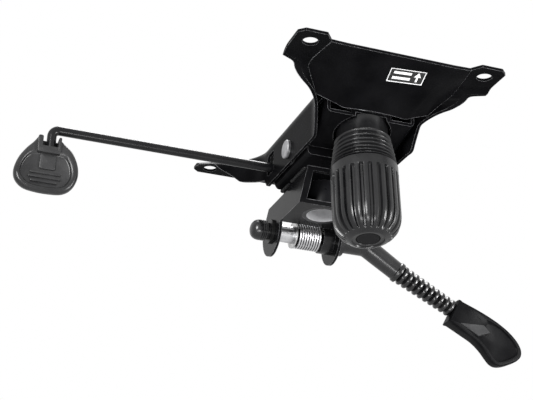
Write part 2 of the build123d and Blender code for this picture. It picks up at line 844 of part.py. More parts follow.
# Tension knob: a fluted cup with a smooth band at its rim and a rounded end
knob_top = -boot_bottom_down - seat_gap
dome_top = knob_dome_h - knob_bottom_down
inner_r = knob_r - knob_wall
end_z = -knob_bottom_down
recess_r = knob_end_r - knob_end_ring
recess_z = end_z + knob_end_recess
cap_seat_z = recess_z + cap_t
dome_mid_r = knob_end_r + (knob_r - knob_end_r) * knob_dome_bulge_share
dome_mid_z = dome_top - knob_dome_h * (1 - knob_dome_bulge_share) - knob_end_recess
knob_face = closed_face(
    Polyline(
        (inner_r, -knob_floor_down),
        (inner_r, knob_top),
        (knob_r - knob_rim_step, knob_top),
        (knob_r, knob_top - knob_rim_step),
        (knob_r, dome_top),
    ),
    ThreePointArc((knob_r, dome_top), (dome_mid_r, dome_mid_z), (knob_end_r, end_z)),
    Polyline(
        (knob_end_r, end_z),
        (recess_r, end_z),
        (recess_r, recess_z),
        (cap_r + running_gap, recess_z),
        (cap_r + running_gap, cap_seat_z),
        (bolt_hole, cap_seat_z),
        (bolt_hole, -knob_floor_down),
        (inner_r, -knob_floor_down),
    ),
)
knob = revolve(Plane.XZ * knob_face, Axis.Z)
flute_top = knob_top - knob_band
flute = disc_z(flute_r, knob_r + flute_out, 0, end_z + flute_foot, flute_top)
flute += Pos(knob_r + flute_out, 0, flute_top) * Sphere(flute_r)
knob -= PolarLocations(0, flute_count) * flute
nut_top = -knob_floor_down - nut_sink
nut_r = nut_flat / math.sqrt(3)
knob -= Pos(0, 0, nut_top - nut_h) * extrude(RegularPolygon(nut_r + running_gap, 6), amount=nut_h + 2 * nut_sink)
save(knob_frame * knob, "tension_knob")
nut = Pos(0, 0, nut_top - nut_h) * extrude(RegularPolygon(nut_r, 6), amount=nut_h)
nut -= disc_z(bolt_r + running_gap, 0, 0, -knob_bottom_down, 0)
save(knob_frame * nut, "knob_nut")
cap = disc_z(cap_r, 0, 0, cap_seat_z - cap_t, cap_seat_z)
cap = chamfer(cap.edges().group_by(Axis.Z)[0], cap_t / 4)
save(knob_frame * cap, "knob_cap")

# Height lever: a cranked rod in a grommet, a press plate over the column's pin, and a paddle
rod_line = FilletPolyline(
    (lever_tip_x, 0, lever_z),
    (lever_crank_in_x, 0, lever_z),
    (lever_crank_out_x, lever_y, lever_z),
    (lever_end_x, lever_y, lever_z),
    (lever_end_x, lever_y, lever_end_z),
    radius=[lever_crank_r, lever_crank_r, lever_bend_r],
)
rod_start = Plane(origin=(lever_tip_x, 0, lever_z), z_dir=(-1, 0, 0))
rod = sweep(rod_start * Circle(lever_r), path=rod_line)
press_low_z = lever_z - lever_r / 2 - press_t
rod += rounded_slot(
    -press_l / 2, press_l / 2, -press_w / 2, press_w / 2, press_low_z, press_low_z + press_t, press_t
)
save(rod, "height_lever_rod")
wall_mid_x = sheet / 2 - base_half_w
grommet_half = sheet / 2 + grommet_flange_t
grommet = disc_x(grommet_r, wall_mid_x - grommet_half, wall_mid_x + grommet_half, lever_y, lever_z)
grommet += disc_x(grommet_flange_r, wall_mid_x - grommet_half, -base_half_w, lever_y, lever_z)
grommet += disc_x(grommet_flange_r, wall_mid_x + sheet / 2, wall_mid_x + grommet_half, lever_y, lever_z)
grommet -= disc_x(lever_r + grommet_slack, -ear_outer_x, 0, lever_y, lever_z)
save(grommet, "lever_grommet")

paddle_h = paddle_top_z - paddle_bottom_z
paddle_plane = Plane(origin=(paddle_x, lever_y, paddle_bottom_z), x_dir=(1, 0, 0), z_dir=(0, -1, 0))
paddle_points = [(share_x * paddle_half_w, share_z * paddle_h) for share_x, share_z in paddle_outline_shares]
paddle_face = closed_face(Polyline(*paddle_points, close=True))
paddle_face = fillet(paddle_face.vertices(), paddle_corner)
paddle = extrude(paddle_plane * paddle_face, amount=paddle_t / 2, both=True)
dish_face = paddle_plane * offset(paddle_face, -paddle_rim)
dish_far = paddle_t / 2 - paddle_dish
for way in (-1, 1):
    paddle -= Pos(0, way * dish_far, 0) * extrude(dish_face, amount=-way * paddle_t)
paddle += rounded_slot(
    lever_end_x - socket_w / 2,
    lever_end_x + socket_w / 2,
    lever_y - socket_t / 2,
    lever_y + socket_t / 2,
    paddle_top_z - socket_foot,
    socket_top_z,
    socket_round,
)
paddle -= disc_z(lever_r + running_gap, lever_end_x, lever_y, lever_end_z, socket_top_z + overrun)
save(paddle, "height_lever_paddle")

# Lock shaft: a straight rod through both ears that bends down to the lever on the right
ear_outer_face = housing_half_w + ear_bush_flange_t
acorn_x = -(ear_outer_face + seat_gap)
droop = math.radians(elbow_droop)
lock_bore = lock_rod_r + running_gap


def along_lever(distance):
    """A point on the lever's line beyond the bend."""
    return elbow_x + distance * math.cos(droop), lock_y, lock_z - distance * math.sin(droop)


def shaft_ring(radius, x0, x1):
    """A ring on the shaft between two places in X."""
    return disc_x(radius, x0, x1, lock_y, lock_z) - disc_x(lock_bore, x0 - sheet, x1 + sheet, lock_y, lock_z)


shaft_start_x = acorn_x - acorn_grip
shaft_start = (shaft_start_x, lock_y, lock_z)
shaft_corner = (elbow_x, lock_y, lock_z)
shaft_line = FilletPolyline(shaft_start, shaft_corner, along_lever(lock_rod_end), radius=elbow_bend_r)
shaft_plane = Plane(origin=shaft_start, z_dir=(1, 0, 0))
save(sweep(shaft_plane * Circle(lock_rod_r), path=shaft_line), "lock_shaft")

ear_bush = shaft_ring(ear_bush_r, housing_inner_x, ear_outer_face)
ear_bush += shaft_ring(ear_bush_flange_r, housing_half_w, ear_outer_face)
save(pair(ear_bush), "ear_bushes")

acorn_end = acorn_x - acorn_collar_l
acorn_tip = acorn_end - acorn_l - acorn_nose
acorn_straight_end = acorn_end - acorn_l / 2
ring_pitch = acorn_l / 2 / acorn_rings
acorn_side = [(acorn_x, lock_bore), (acorn_x, acorn_collar_r), (acorn_end, acorn_collar_r), (acorn_end, acorn_r)]
for number in range(acorn_rings):
    ring_x = acorn_end - ring_pitch * (number + 1 / 2)
    acorn_side.append((ring_x + acorn_ring_depth, acorn_r))
    acorn_side.append((ring_x, acorn_r - acorn_ring_depth))
    acorn_side.append((ring_x - acorn_ring_depth, acorn_r))
acorn_side.append((acorn_straight_end, acorn_r))
acorn_face = closed_face(
    Polyline(*acorn_side),
    Bezier((acorn_straight_end, acorn_r), (acorn_tip, acorn_r), (acorn_tip, 0)),
    Polyline((acorn_tip, 0), (shaft_start_x, 0), (shaft_start_x, lock_bore), (acorn_x, lock_bore)),
)
acorn = Pos(0, lock_y, lock_z) * revolve(acorn_face, Axis.X)
save(acorn, "acorn_cap")

save(shaft_ring(sleeve_r, seat_gap - housing_inner_x, sleeve_end_x), "spring_sleeve")
seat_ring = disc_x(spring_seat_r, spring_seat_x, spring_seat_x + spring_seat_t, lock_y, lock_z)
seat_ring -= disc_x(sleeve_r + running_gap, spring_seat_x - sheet, spring_seat_x + 2 * sheet, lock_y, lock_z)
save(seat_ring, "spring_seat")
return_low = spring_seat_x + spring_seat_t + seat_gap
return_run = hub_x - seat_gap - return_low
return_spring = coil(return_mean_r, return_wire_r, return_turns, return_run, "return spring")
save(Pos(return_low, lock_y, lock_z) * Rot(0, quarter, 0) * return_spring, "return_spring")

# Pawl: a drum on the shaft with an arm whose tooth swings into the sector's notches
hub_end = housing_inner_x - seat_gap
tooth_dy = pawl_far * math.cos(tooth_turn) - shaft_dy
tooth_dz = pawl_far * math.sin(tooth_turn) - shaft_dz
pawl_turn = math.degrees(math.atan2(tooth_dz, tooth_dy))
tooth_far = pawl_far - sector_r + notch_depth - pawl_tooth_short
pawl_top = pawl_reach + pawl_over
arm_face = closed_face(
    Polyline(
        (0, -pawl_w / 2),
        (pawl_top, -pawl_w / 2),
        (pawl_top, pawl_w / 2),
        (pawl_reach + pawl_tooth_root / 2, pawl_w / 2),
        (pawl_reach + pawl_tooth_tip / 2, tooth_far),
        (pawl_reach - pawl_tooth_tip / 2, tooth_far),
        (pawl_reach - pawl_tooth_root / 2, pawl_w / 2),
        (0, pawl_w / 2),
        close=True,
    )
)
pawl = disc_x(hub_r, hub_x, hub_end, 0, 0)
pawl += Pos(pawl_x, 0, 0) * extrude(Plane.YZ * arm_face, amount=pawl_t)
pawl -= disc_x(lock_bore, 0, ear_outer_x, 0, 0)
save(Pos(0, lock_y, lock_z) * Rot(pawl_turn - lock_turn_max, 0, 0) * pawl, "lock_pawl")

# Collar, elbow sleeve and ribbed neck on the lever side
save(shaft_ring(collar_r, ear_outer_face + seat_gap, collar_end_x), "shaft_collar")
elbow_start = (collar_end_x, lock_y, lock_z)
elbow_line = FilletPolyline(elbow_start, shaft_corner, along_lever(elbow_grip_start), radius=elbow_bend_r)
elbow = sweep(Plane(origin=elbow_start, z_dir=(1, 0, 0)) * Circle(elbow_r), path=elbow_line)
lever_frame = Pos(elbow_x, lock_y, lock_z) * Rot(0, quarter + elbow_droop, 0)
grip_pitches = [(elbow_end - elbow_grip_start) / elbow_ribs for number in range(elbow_ribs)]
grip = ring_loft(rib_levels(elbow_grip_start, grip_pitches, (elbow_r, elbow_r), elbow_rib_depth))
elbow += lever_frame * grip
elbow -= sweep(shaft_plane * Circle(lock_bore), path=shaft_line)
save(elbow, "lever_elbow")
neck_pitches = [(neck_end - elbow_end) / neck_ribs for number in range(neck_ribs)]
neck = ring_loft(rib_levels(elbow_end, neck_pitches, (neck_r, neck_tip_r), neck_rib_depth))
neck -= disc_z(lock_bore, 0, 0, 0, lock_rod_end)
save(lever_frame * neck, "flex_neck")

# Lock paddle: thick at its root, thin at its tip, with a shallow dish on both faces
lock_paddle_l = lock_paddle_end - neck_end
lever_way = (math.cos(droop), 0, -math.sin(droop))
paddle_frame = Plane(origin=along_lever(neck_end), x_dir=lever_way, z_dir=(0, -1, 0))
lock_points = [
    (share_x * lock_paddle_l, share_z * lock_paddle_w) for share_x, share_z in lock_paddle_outline_shares
]
lock_face = closed_face(Polyline(*lock_points, close=True))
lock_face = fillet(lock_face.vertices(), lock_paddle_corner)
lock_paddle = extrude(lock_face, amount=lock_paddle_t, both=True)
wedge_face = closed_face(
    Polyline(
        (0, -lock_paddle_t / 2),
        (lock_paddle_l, -lock_paddle_tip_t / 2),
        (lock_paddle_l, lock_paddle_tip_t / 2),
        (0, lock_paddle_t / 2),
        close=True,
    )
)
lock_paddle = lock_paddle & extrude(Plane.XZ * wedge_face, amount=2 * lock_paddle_w, both=True)
dish_span = Pos(lock_paddle_dish_start + lock_paddle_l / 2, 0, 0) * Rectangle(lock_paddle_l, 4 * lock_paddle_w)
lock_dish = offset(lock_face, -lock_paddle_rim) & dish_span
taper_tilt = math.degrees(math.atan2((lock_paddle_t - lock_paddle_tip_t) / 2, lock_paddle_l))
for way in (-1, 1):
    face_place = Pos(0, 0, way * (lock_paddle_t / 2 - lock_paddle_dish)) * Rot(0, way * taper_tilt, 0)
    lock_paddle -= face_place * extrude(lock_dish, amount=way * lock_paddle_t)
lock_paddle -= Rot(0, quarter, 0) * disc_z(lock_bore, 0, 0, -lock_paddle_l, lock_rod_end - neck_end)
save(paddle_frame * lock_paddle, "lock_paddle")
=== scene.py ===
import json
import math

import bmesh
import bpy
from mathutils import Matrix, Vector
from mathutils.bvhtree import BVHTree


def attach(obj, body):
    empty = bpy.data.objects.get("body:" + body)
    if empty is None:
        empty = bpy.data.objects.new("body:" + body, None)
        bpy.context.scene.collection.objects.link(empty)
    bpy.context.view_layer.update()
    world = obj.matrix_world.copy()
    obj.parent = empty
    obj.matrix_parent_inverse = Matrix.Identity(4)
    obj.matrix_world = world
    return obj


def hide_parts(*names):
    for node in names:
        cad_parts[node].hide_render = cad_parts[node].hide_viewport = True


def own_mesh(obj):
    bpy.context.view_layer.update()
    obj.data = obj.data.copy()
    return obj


# Shapes are worked out in millimetres, in the row frame, and scaled by MM where they become points.
# Finishes, camera, lamps and floor are in metres.

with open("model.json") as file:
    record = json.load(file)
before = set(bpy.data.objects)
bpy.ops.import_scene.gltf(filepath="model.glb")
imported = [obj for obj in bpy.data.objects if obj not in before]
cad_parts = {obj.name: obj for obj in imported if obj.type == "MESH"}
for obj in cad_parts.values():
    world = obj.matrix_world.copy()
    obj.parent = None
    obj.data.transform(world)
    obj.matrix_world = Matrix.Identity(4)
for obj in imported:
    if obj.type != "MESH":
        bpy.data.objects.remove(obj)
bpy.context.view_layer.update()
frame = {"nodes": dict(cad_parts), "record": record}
nodes = frame["nodes"]
MM = 0.001

# The lock shaft's axis runs along x at this place
lock_y = 49.5
lock_z = -2.0


def add(item):
    """Puts an object in the scene."""
    bpy.context.scene.collection.objects.link(item)
    return item


# ---------------------------------------------------------------- shader steps

def shader_tree(name):
    """A new material, its empty node tree, its surface shader and its object coordinates."""
    material = bpy.data.materials.new(name)
    material.use_nodes = True
    tree = material.node_tree
    tree.nodes.clear()
    output = tree.nodes.new("ShaderNodeOutputMaterial")
    surface = tree.nodes.new("ShaderNodeBsdfPrincipled")
    tree.links.new(surface.outputs["BSDF"], output.inputs["Surface"])
    place = tree.nodes.new("ShaderNodeTexCoord").outputs["Object"]
    return material, tree, surface, place


def cloud(tree, place, scale, detail, roughness=0.55):
    """A noise of so many features per metre."""
    noise = tree.nodes.new("ShaderNodeTexNoise")
    noise.inputs["Scale"].default_value = scale
    noise.inputs["Detail"].default_value = detail
    noise.inputs["Roughness"].default_value = roughness
    tree.links.new(place, noise.inputs["Vector"])
    return noise.outputs["Fac"]


def spread(tree, value, low, high, out_low=0.0, out_high=1.0):
    """Moves a value from one range to another, with its ends held."""
    node = tree.nodes.new("ShaderNodeMapRange")
    node.inputs["From Min"].default_value = low
    node.inputs["From Max"].default_value = high
    node.inputs["To Min"].default_value = out_low
    node.inputs["To Max"].default_value = out_high
    tree.links.new(value, node.inputs["Value"])
    return node.outputs["Result"]


def number_math(tree, operation, first, second):
    """One step on two number sockets."""
    node = tree.nodes.new("ShaderNodeMath")
    node.operation = operation
    tree.links.new(first, node.inputs[0])
    tree.links.new(second, node.inputs[1])
    return node.outputs["Value"]


def vector_math(tree, operation, first, second=None):
    """One step on a vector socket, with a constant or a second socket where the step takes one."""
    node = tree.nodes.new("ShaderNodeVectorMath")
    node.operation = operation
    tree.links.new(first, node.inputs[0])
    if isinstance(second, tuple):
        node.inputs[1].default_value = second
    elif second is not None:
        tree.links.new(second, node.inputs[1])
    return node.outputs["Value" if operation in ("LENGTH", "DOT_PRODUCT") else "Vector"]


def blend(tree, share, first, second):
    """Mixes two colours by a share: each is a constant or a socket."""
    mix = tree.nodes.new("ShaderNodeMix")
    mix.data_type = "RGBA"
    for label, colour in (("A", first), ("B", second)):
        if isinstance(colour, tuple):
            mix.inputs[label].default_value = (*colour, 1.0)
        else:
            tree.links.new(colour, mix.inputs[label])
    tree.links.new(share, mix.inputs["Factor"])
    return mix.outputs["Result"]


def blend_shaders(tree, share, first, second):
    """Mixes two shaders by a share."""
    mix = tree.nodes.new("ShaderNodeMixShader")
    tree.links.new(share, mix.inputs["Fac"])
    tree.links.new(first, mix.inputs[1])
    tree.links.new(second, mix.inputs[2])
    return mix.outputs["Shader"]


def seen_rays(tree):
    """1 for a ray from the camera, off a glossy face or through a clear one, and 0 for the rest."""
    rays = tree.nodes.new("ShaderNodeLightPath")
    either = number_math(tree, "MAXIMUM", rays.outputs["Is Camera Ray"], rays.outputs["Is Glossy Ray"])
    return number_math(tree, "MAXIMUM", either, rays.outputs["Is Transmission Ray"])


def relief(tree, surface, height, depth):
    """Raises the surface by a height pattern of this depth in metres."""
    bump = tree.nodes.new("ShaderNodeBump")
    bump.inputs["Distance"].default_value = depth
    bump.inputs["Strength"].default_value = 1.0
    tree.links.new(height, bump.inputs["Height"])
    tree.links.new(bump.outputs["Normal"], surface.inputs["Normal"])


# How far the rounded normal follows the true one, on an open face and on a sharp edge
EDGE_RANGE = (0.97, 0.80)


def edge_share(tree, radius):
    """1 along sharp edges, where the pale edge tone goes (partly rubbed coat, partly painted highlight), and 0 on
    open faces.
    """
    bevel = tree.nodes.new("ShaderNodeBevel")
    bevel.samples = 6
    bevel.inputs["Radius"].default_value = radius
    geometry = tree.nodes.new("ShaderNodeNewGeometry")
    alike = vector_math(tree, "DOT_PRODUCT", bevel.outputs["Normal"], geometry.outputs["True Normal"])
    return spread(tree, alike, *EDGE_RANGE)


# ---------------------------------------------------------------- kinds of finish
#
# Each takes its darkest and lightest tone and its least and greatest roughness. A noise lies mostly between
# 0.3 and 0.7, and these are the parts of it that shift a tone, a stain and a roughness.

TONE_RANGE = (0.35, 0.65)
STAIN_RANGE = (0.35, 0.70)
ROUGH_RANGE = (0.3, 0.7)
# These also say what the two ends become
EDGE_BREAKUP_RANGE = (0.38, 0.60, 0.25, 1.0)
SCUFF_RANGE = (0.60, 0.74, 0.0, 0.5)
SCUFF_GAIN = 2.6
STAIN = {"scale": 120.0, "detail": 4.0}
FINE_RELIEF = 0.02 * MM
STEEL_GLOSS = 0.25
# Dark tone of these steel pieces: black coat on the column socket, painted shade on the return spring and sleeve
COAT_AND_SHADE_DARK = (0.007, 0.007, 0.008)
CLEAN_STEEL = (0.60, 0.60, 0.61)
STAINED_STEEL = (0.42, 0.42, 0.43)
# Where the steel pieces turn dark (black coat on the column socket, painted shade on the return spring and sleeve):
# radius in the column socket and the return spring, and x on the sleeve
BORE_EDGE = (14.2 * MM, 14.4 * MM)
CREST_EDGE = (11.4 * MM, 11.8 * MM)
SLEEVE_EDGE = (-9.6 * MM, -9.0 * MM)


def painted(name, tones, roughness, gloss, wear_and_highlight_tone, edge_radius, edge_strength):
    """Powder coat: a faint orange peel, handling marks, and pale edges that are partly rubbed coat and partly
    painted highlight.
    """
    material, tree, surface, place = shader_tree(name)
    broad = cloud(tree, place, scale=28.0, detail=4.0)
    peel = cloud(tree, place, scale=420.0, detail=2.0)
    edge_breakup = spread(tree, cloud(tree, place, scale=160.0, detail=5.0, roughness=0.7), *EDGE_BREAKUP_RANGE)
    coat = blend(tree, spread(tree, broad, *TONE_RANGE), *tones)
    # Pale edges: partly rubbed coat, partly painted highlight
    lightened = number_math(tree, "MULTIPLY", edge_share(tree, edge_radius), edge_breakup)
    lightened = spread(tree, lightened, 0.0, 1.0, 0.0, edge_strength)
    tree.links.new(blend(tree, lightened, coat, wear_and_highlight_tone), surface.inputs["Base Color"])
    tree.links.new(spread(tree, broad, *ROUGH_RANGE, *roughness), surface.inputs["Roughness"])
    surface.inputs["Specular IOR Level"].default_value = gloss
    relief(tree, surface, peel, FINE_RELIEF)
    return material


def plated(name, tones, roughness, stretch):
    """Bright plated or turned metal, with fine marks drawn out along one way."""
    material, tree, surface, place = shader_tree(name)
    turned = tree.nodes.new("ShaderNodeMapping")
    turned.inputs["Scale"].default_value = stretch
    tree.links.new(place, turned.inputs["Vector"])
    marks = cloud(tree, turned.outputs["Vector"], scale=900.0, detail=3.0, roughness=0.6)
    stain = spread(tree, cloud(tree, place, **STAIN), *STAIN_RANGE)
    dark, light = tones
    tree.links.new(blend(tree, stain, light, dark), surface.inputs["Base Color"])
    tree.links.new(spread(tree, marks, *ROUGH_RANGE, *roughness), surface.inputs["Roughness"])
    surface.inputs["Metallic"].default_value = 1.0
    relief(tree, surface, marks, FINE_RELIEF)
    return material


def moulded(name, tones, roughness, gloss, grain, grain_depth):
    """Moulded plastic or rubber: spark grain, faint flow marks and pale scuffs."""
    material, tree, surface, place = shader_tree(name)
    flow = cloud(tree, place, scale=45.0, detail=4.0)
    spark = cloud(tree, place, scale=grain, detail=2.0)
    scuff = spread(tree, cloud(tree, place, scale=240.0, detail=6.0, roughness=0.75), *SCUFF_RANGE)
    body = blend(tree, spread(tree, flow, *TONE_RANGE), *tones)
    pale = tuple(part * SCUFF_GAIN for part in tones[1])
    tree.links.new(blend(tree, scuff, body, pale), surface.inputs["Base Color"])
    tree.links.new(spread(tree, flow, *ROUGH_RANGE, *roughness), surface.inputs["Roughness"])
    surface.inputs["Specular IOR Level"].default_value = gloss
    relief(tree, surface, spark, grain_depth)
    return material


def coat_and_shade_steel(name, bare_share, metal_share, roughness):
    """Steel, dark over part of it: black coat on the column socket, painted shade on the return spring and the
    sleeve. bare_share gives the bare part from the place.
    """
    material, tree, surface, place = shader_tree(name)
    bare = bare_share(tree, place)
    stain = cloud(tree, place, **STAIN)
    steel = blend(tree, spread(tree, stain, *STAIN_RANGE), CLEAN_STEEL, STAINED_STEEL)
    tree.links.new(blend(tree, bare, COAT_AND_SHADE_DARK, steel), surface.inputs["Base Color"])
    tree.links.new(spread(tree, bare, 0.0, 1.0, 0.0, metal_share), surface.inputs["Metallic"])
    tree.links.new(spread(tree, stain, *ROUGH_RANGE, *roughness), surface.inputs["Roughness"])
    surface.inputs["Specular IOR Level"].default_value = STEEL_GLOSS
    relief(tree, surface, cloud(tree, place, scale=700.0, detail=2.0), FINE_RELIEF)
    return material


def inside_bore(tree, place):
    """1 nearer to the column axis than the bore's wall."""
    far = vector_math(tree, "LENGTH", vector_math(tree, "MULTIPLY", place, (1.0, 1.0, 0.0)))
    return spread(tree, far, *BORE_EDGE, 1.0, 0.0)


def sleeve_spring_shade(tree, place):
    """1 on the side of the spring where the sleeve is bare, 0 under the spring, where the dark part is painted
    shade.
    """
    split = tree.nodes.new("ShaderNodeSeparateXYZ")
    tree.links.new(place, split.inputs["Vector"])
    return spread(tree, split.outputs["X"], *SLEEVE_EDGE, 1.0, 0.0)


def spring_gap_shade(tree, place):
    """1 on the outside of the return spring's turns, 0 down between them, where the dark part is painted shade."""
    off_axis = vector_math(tree, "SUBTRACT", place, (0.0, lock_y * MM, lock_z * MM))
    far = vector_math(tree, "LENGTH", vector_math(tree, "MULTIPLY", off_axis, (0.0, 1.0, 1.0)))
    return spread(tree, far, *CREST_EDGE)


# ---------------------------------------------------------------- finishes

def grey(level):
    """A colour without a hue."""
    return (level, level, level)


SOFT_BLACK = ((0.0022, 0.0022, 0.0025), (0.005, 0.005, 0.0055))
HARD_BLACK = ((0.003, 0.003, 0.0035), (0.006, 0.006, 0.0065))
PLASTIC_BLACK = ((0.003, 0.003, 0.0035), (0.007, 0.007, 0.0075))
PADDLE_GREY = ((0.009, 0.009, 0.0095), (0.018, 0.018, 0.0185))
# The thumb rest's lighter grey is painted light, for the light falling on it
REST_LIT_GREY = ((0.024, 0.024, 0.025), (0.045, 0.045, 0.046))
# Pale edge tone: partly rubbed coat, partly painted highlight along the edges
WEAR_AND_HIGHLIGHT_EDGE = (0.34, 0.34, 0.35)

black_coat = painted("black powder coat", SOFT_BLACK, (0.13, 0.27), 0.08, WEAR_AND_HIGHLIGHT_EDGE, 0.6 * MM, 0.6)
wall_coat = painted("flat black coat", SOFT_BLACK, (0.16, 0.30), 0.008, WEAR_AND_HIGHLIGHT_EDGE, 0.6 * MM, 0.6)
hub_coat = painted("glossy black coat", HARD_BLACK, (0.20, 0.30), 0.30, WEAR_AND_HIGHLIGHT_EDGE, 0.5 * MM, 0.5)
rod_coat = painted("black rod coat", HARD_BLACK, (0.22, 0.34), 0.25, grey(0.16), 0.4 * MM, 0.25)

zinc_plate = plated("zinc plate", ((0.36, 0.37, 0.38), (0.58, 0.59, 0.60)), (0.20, 0.38), (1.0, 0.12, 0.12))
turned_steel = plated("turned steel", (grey(0.34), grey(0.58)), (0.22, 0.40), (0.12, 0.12, 1.0))
spring_wire = plated("spring wire", ((0.45, 0.45, 0.46), (0.72, 0.72, 0.73)), (0.18, 0.32), grey(1.0))
dull_zinc = plated("dulled zinc", ((0.20, 0.20, 0.21), (0.40, 0.40, 0.41)), (0.28, 0.45), (0.12, 1.0, 1.0))
weld_metal = plated("painted weld", ((0.010, 0.010, 0.011), grey(0.030)), (0.30, 0.45), grey(1.0))

black_plastic = moulded("black moulded plastic", PLASTIC_BLACK, (0.32, 0.46), 0.05, 1500.0, 0.024 * MM)
grip_plastic = moulded("grained knob plastic", PLASTIC_BLACK, (0.24, 0.34), 0.42, 1100.0, 0.020 * MM)
boot_rubber = moulded("black boot rubber", PLASTIC_BLACK, (0.24, 0.34), 0.45, 800.0, 0.020 * MM)
gloss_plastic = moulded("glossy black sleeve", PLASTIC_BLACK, (0.20, 0.30), 0.50, 900.0, 0.012 * MM)
# Also on the paddle socket's back, where its darker tone is painted shade in the hole
nylon = moulded("black nylon", (grey(0.005), grey(0.010)), (0.3, 0.42), 0.22, 1300.0, 0.016 * MM)
# Lighter than the paddle: painted light on the thumb rest
lit_rest_plastic = moulded("worn thumb rest plastic", REST_LIT_GREY, (0.26, 0.38), 0.25, 1300.0, 0.020 * MM)
paddle_plastic = moulded("dark grey paddle plastic", PADDLE_GREY, (0.26, 0.38), 0.40, 1300.0, 0.020 * MM)
label_black = moulded("label sheet", (grey(0.006), grey(0.010)), (0.25, 0.35), 0.4, 700.0, 0.008 * MM)
label_white = moulded("printed label lines", (grey(0.62), grey(0.74)), (0.4, 0.5), 0.4, 700.0, 0.008 * MM)

# The dark gaps between the return spring's turns are painted shade
spring_gap_shade_finish = coat_and_shade_steel("return spring: bright turns, shade_painted gaps", spring_gap_shade, 1.0, (0.30, 0.42))
bush_finish = coat_and_shade_steel("column socket: bright bore, black outside", inside_bore, 0.55, (0.26, 0.40))
# The sleeve's dark part under the spring is painted shade
sleeve_shade_finish = coat_and_shade_steel("sleeve: bright end, black under the spring", sleeve_spring_shade, 1.0, (0.24, 0.38))

finish_of_slot = {
    "black_steel": black_coat,
    "black_rod": rod_coat,
    "bright_steel": turned_steel,
    "zinc": zinc_plate,
    "spring_steel": spring_wire,
    "black_plastic": black_plastic,
    "boot_rubber": boot_rubber,
    "nylon": nylon,
}
finish_of_node = {
    "taper_bush": bush_finish,
    "spring_sleeve": sleeve_shade_finish,
    "lock_shaft": rod_coat,
    "return_spring": spring_gap_shade_finish,
    "seat_plate": wall_coat,
    "base_channel": wall_coat,
    "lock_pawl": hub_coat,
    "shaft_collar": gloss_plastic,
    "pivot_axle": dull_zinc,
    "acorn_cap": gloss_plastic,
    "flex_neck": gloss_plastic,
}
for part in frame["record"]["subparts"]:
    slots = nodes[part["node"]].data.materials
    slots.clear()
    slots.append(finish_of_node.get(part["node"], finish_of_slot[part["material_slot"]]))


# ---------------------------------------------------------------- mesh tools

def new_piece(name, points, faces, material, body, smooth_angle):
    """A mesh object in place, with a finish, on a body."""
    mesh = bpy.data.meshes.new(name)
    mesh.from_pydata([tuple(p) for p in points], [], faces)
    mesh.validate()
    mesh.shade_smooth()
    mesh.set_sharp_from_angle(angle=math.radians(smooth_angle))
    piece = add(bpy.data.objects.new(name, mesh))
    mesh.materials.append(material)
    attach(piece, body)
    return piece


def skin(rings):
    """Points and faces of a closed skin over rings of equal count, with both ends closed by a fan."""
    points, faces = [], []
    count = len(rings[0])
    for ring in rings:
        points.extend(ring)
    for level in range(len(rings) - 1):
        for step in range(count):
            after = (step + 1) % count
            a, b = level * count, (level + 1) * count
            faces.append((a + step, a + after, b + after, b + step))
    for ring, level, turn in ((rings[0], 0, True), (rings[-1], len(rings) - 1, False)):
        middle = sum(ring, Vector()) / count
        points.append(middle)
        top = len(points) - 1
        for step in range(count):
            after = (step + 1) % count
            face = (level * count + step, level * count + after, top)
            faces.append(face[::-1] if turn else face)
    return points, faces


def through(corners, per_run=5):
    """A smooth open line through points of a plane."""
    line = []
    last = len(corners) - 1
    for run in range(last):
        p0, p1, p2, p3 = (Vector(corners[min(max(run + k, 0), last)]) for k in (-1, 0, 1, 2))
        for step in range(per_run):
            t = step / per_run
            line.append(
                0.5 * (2 * p1 + (p2 - p0) * t + (2 * p0 - 5 * p1 + 4 * p2 - p3) * t * t
                       + (3 * p1 - p0 - 3 * p2 + p3) * t * t * t)
            )
    line.append(Vector(corners[-1]))
    return line


def inset(outline, distance):
    """Moves a counter-clockwise outline inwards."""
    moved = []
    count = len(outline)
    for step in range(count):
        along = outline[(step + 1) % count] - outline[step - 1]
        along.normalize()
        moved.append(outline[step] + Vector((-along.y, along.x)) * distance)
    return moved


def between(first, second, share):
    """A line part of the way from one line to another of as many points."""
    return [a.lerp(b, share) for a, b in zip(first, second)]


# ---------------------------------------------------------------- height lever paddle

lever_y = 18.0
paddle_x = -240.3
# Across and up, clockwise as seen from in front, from one side of the rod to the other
paddle_sides = (
    (9.8, 36.0), (13.6, 32.5), (20.4, 26.5), (25.6, 16.0), (26.6, 5.0), (23.0, -5.0), (15.5, -11.2),
    (4.0, -12.9), (-8.5, -12.6), (-18.5, -10.4), (-25.2, -4.2), (-26.8, 4.5), (-24.0, 15.0), (-18.4, 24.5),
    (-12.9, 31.2), (-9.8, 36.0),
)
paddle_dish = (
    (6.0, 21.5), (10.0, 21.6), (14.6, 20.4), (18.8, 14.0), (20.2, 5.0), (17.6, -2.2), (12.0, -6.6),
    (3.5, -7.8), (-7.0, -7.6), (-14.5, -6.0), (-20.0, -1.2), (-21.4, 4.8), (-19.2, 12.6), (-15.4, 18.4),
    (-10.5, 21.2), (-6.0, 21.5),
)


def on_height_paddle(x, z, out):
    """A place on the paddle: across, up, and out of its middle plane to the front."""
    return Vector((paddle_x + x, lever_y - out, z)) * MM


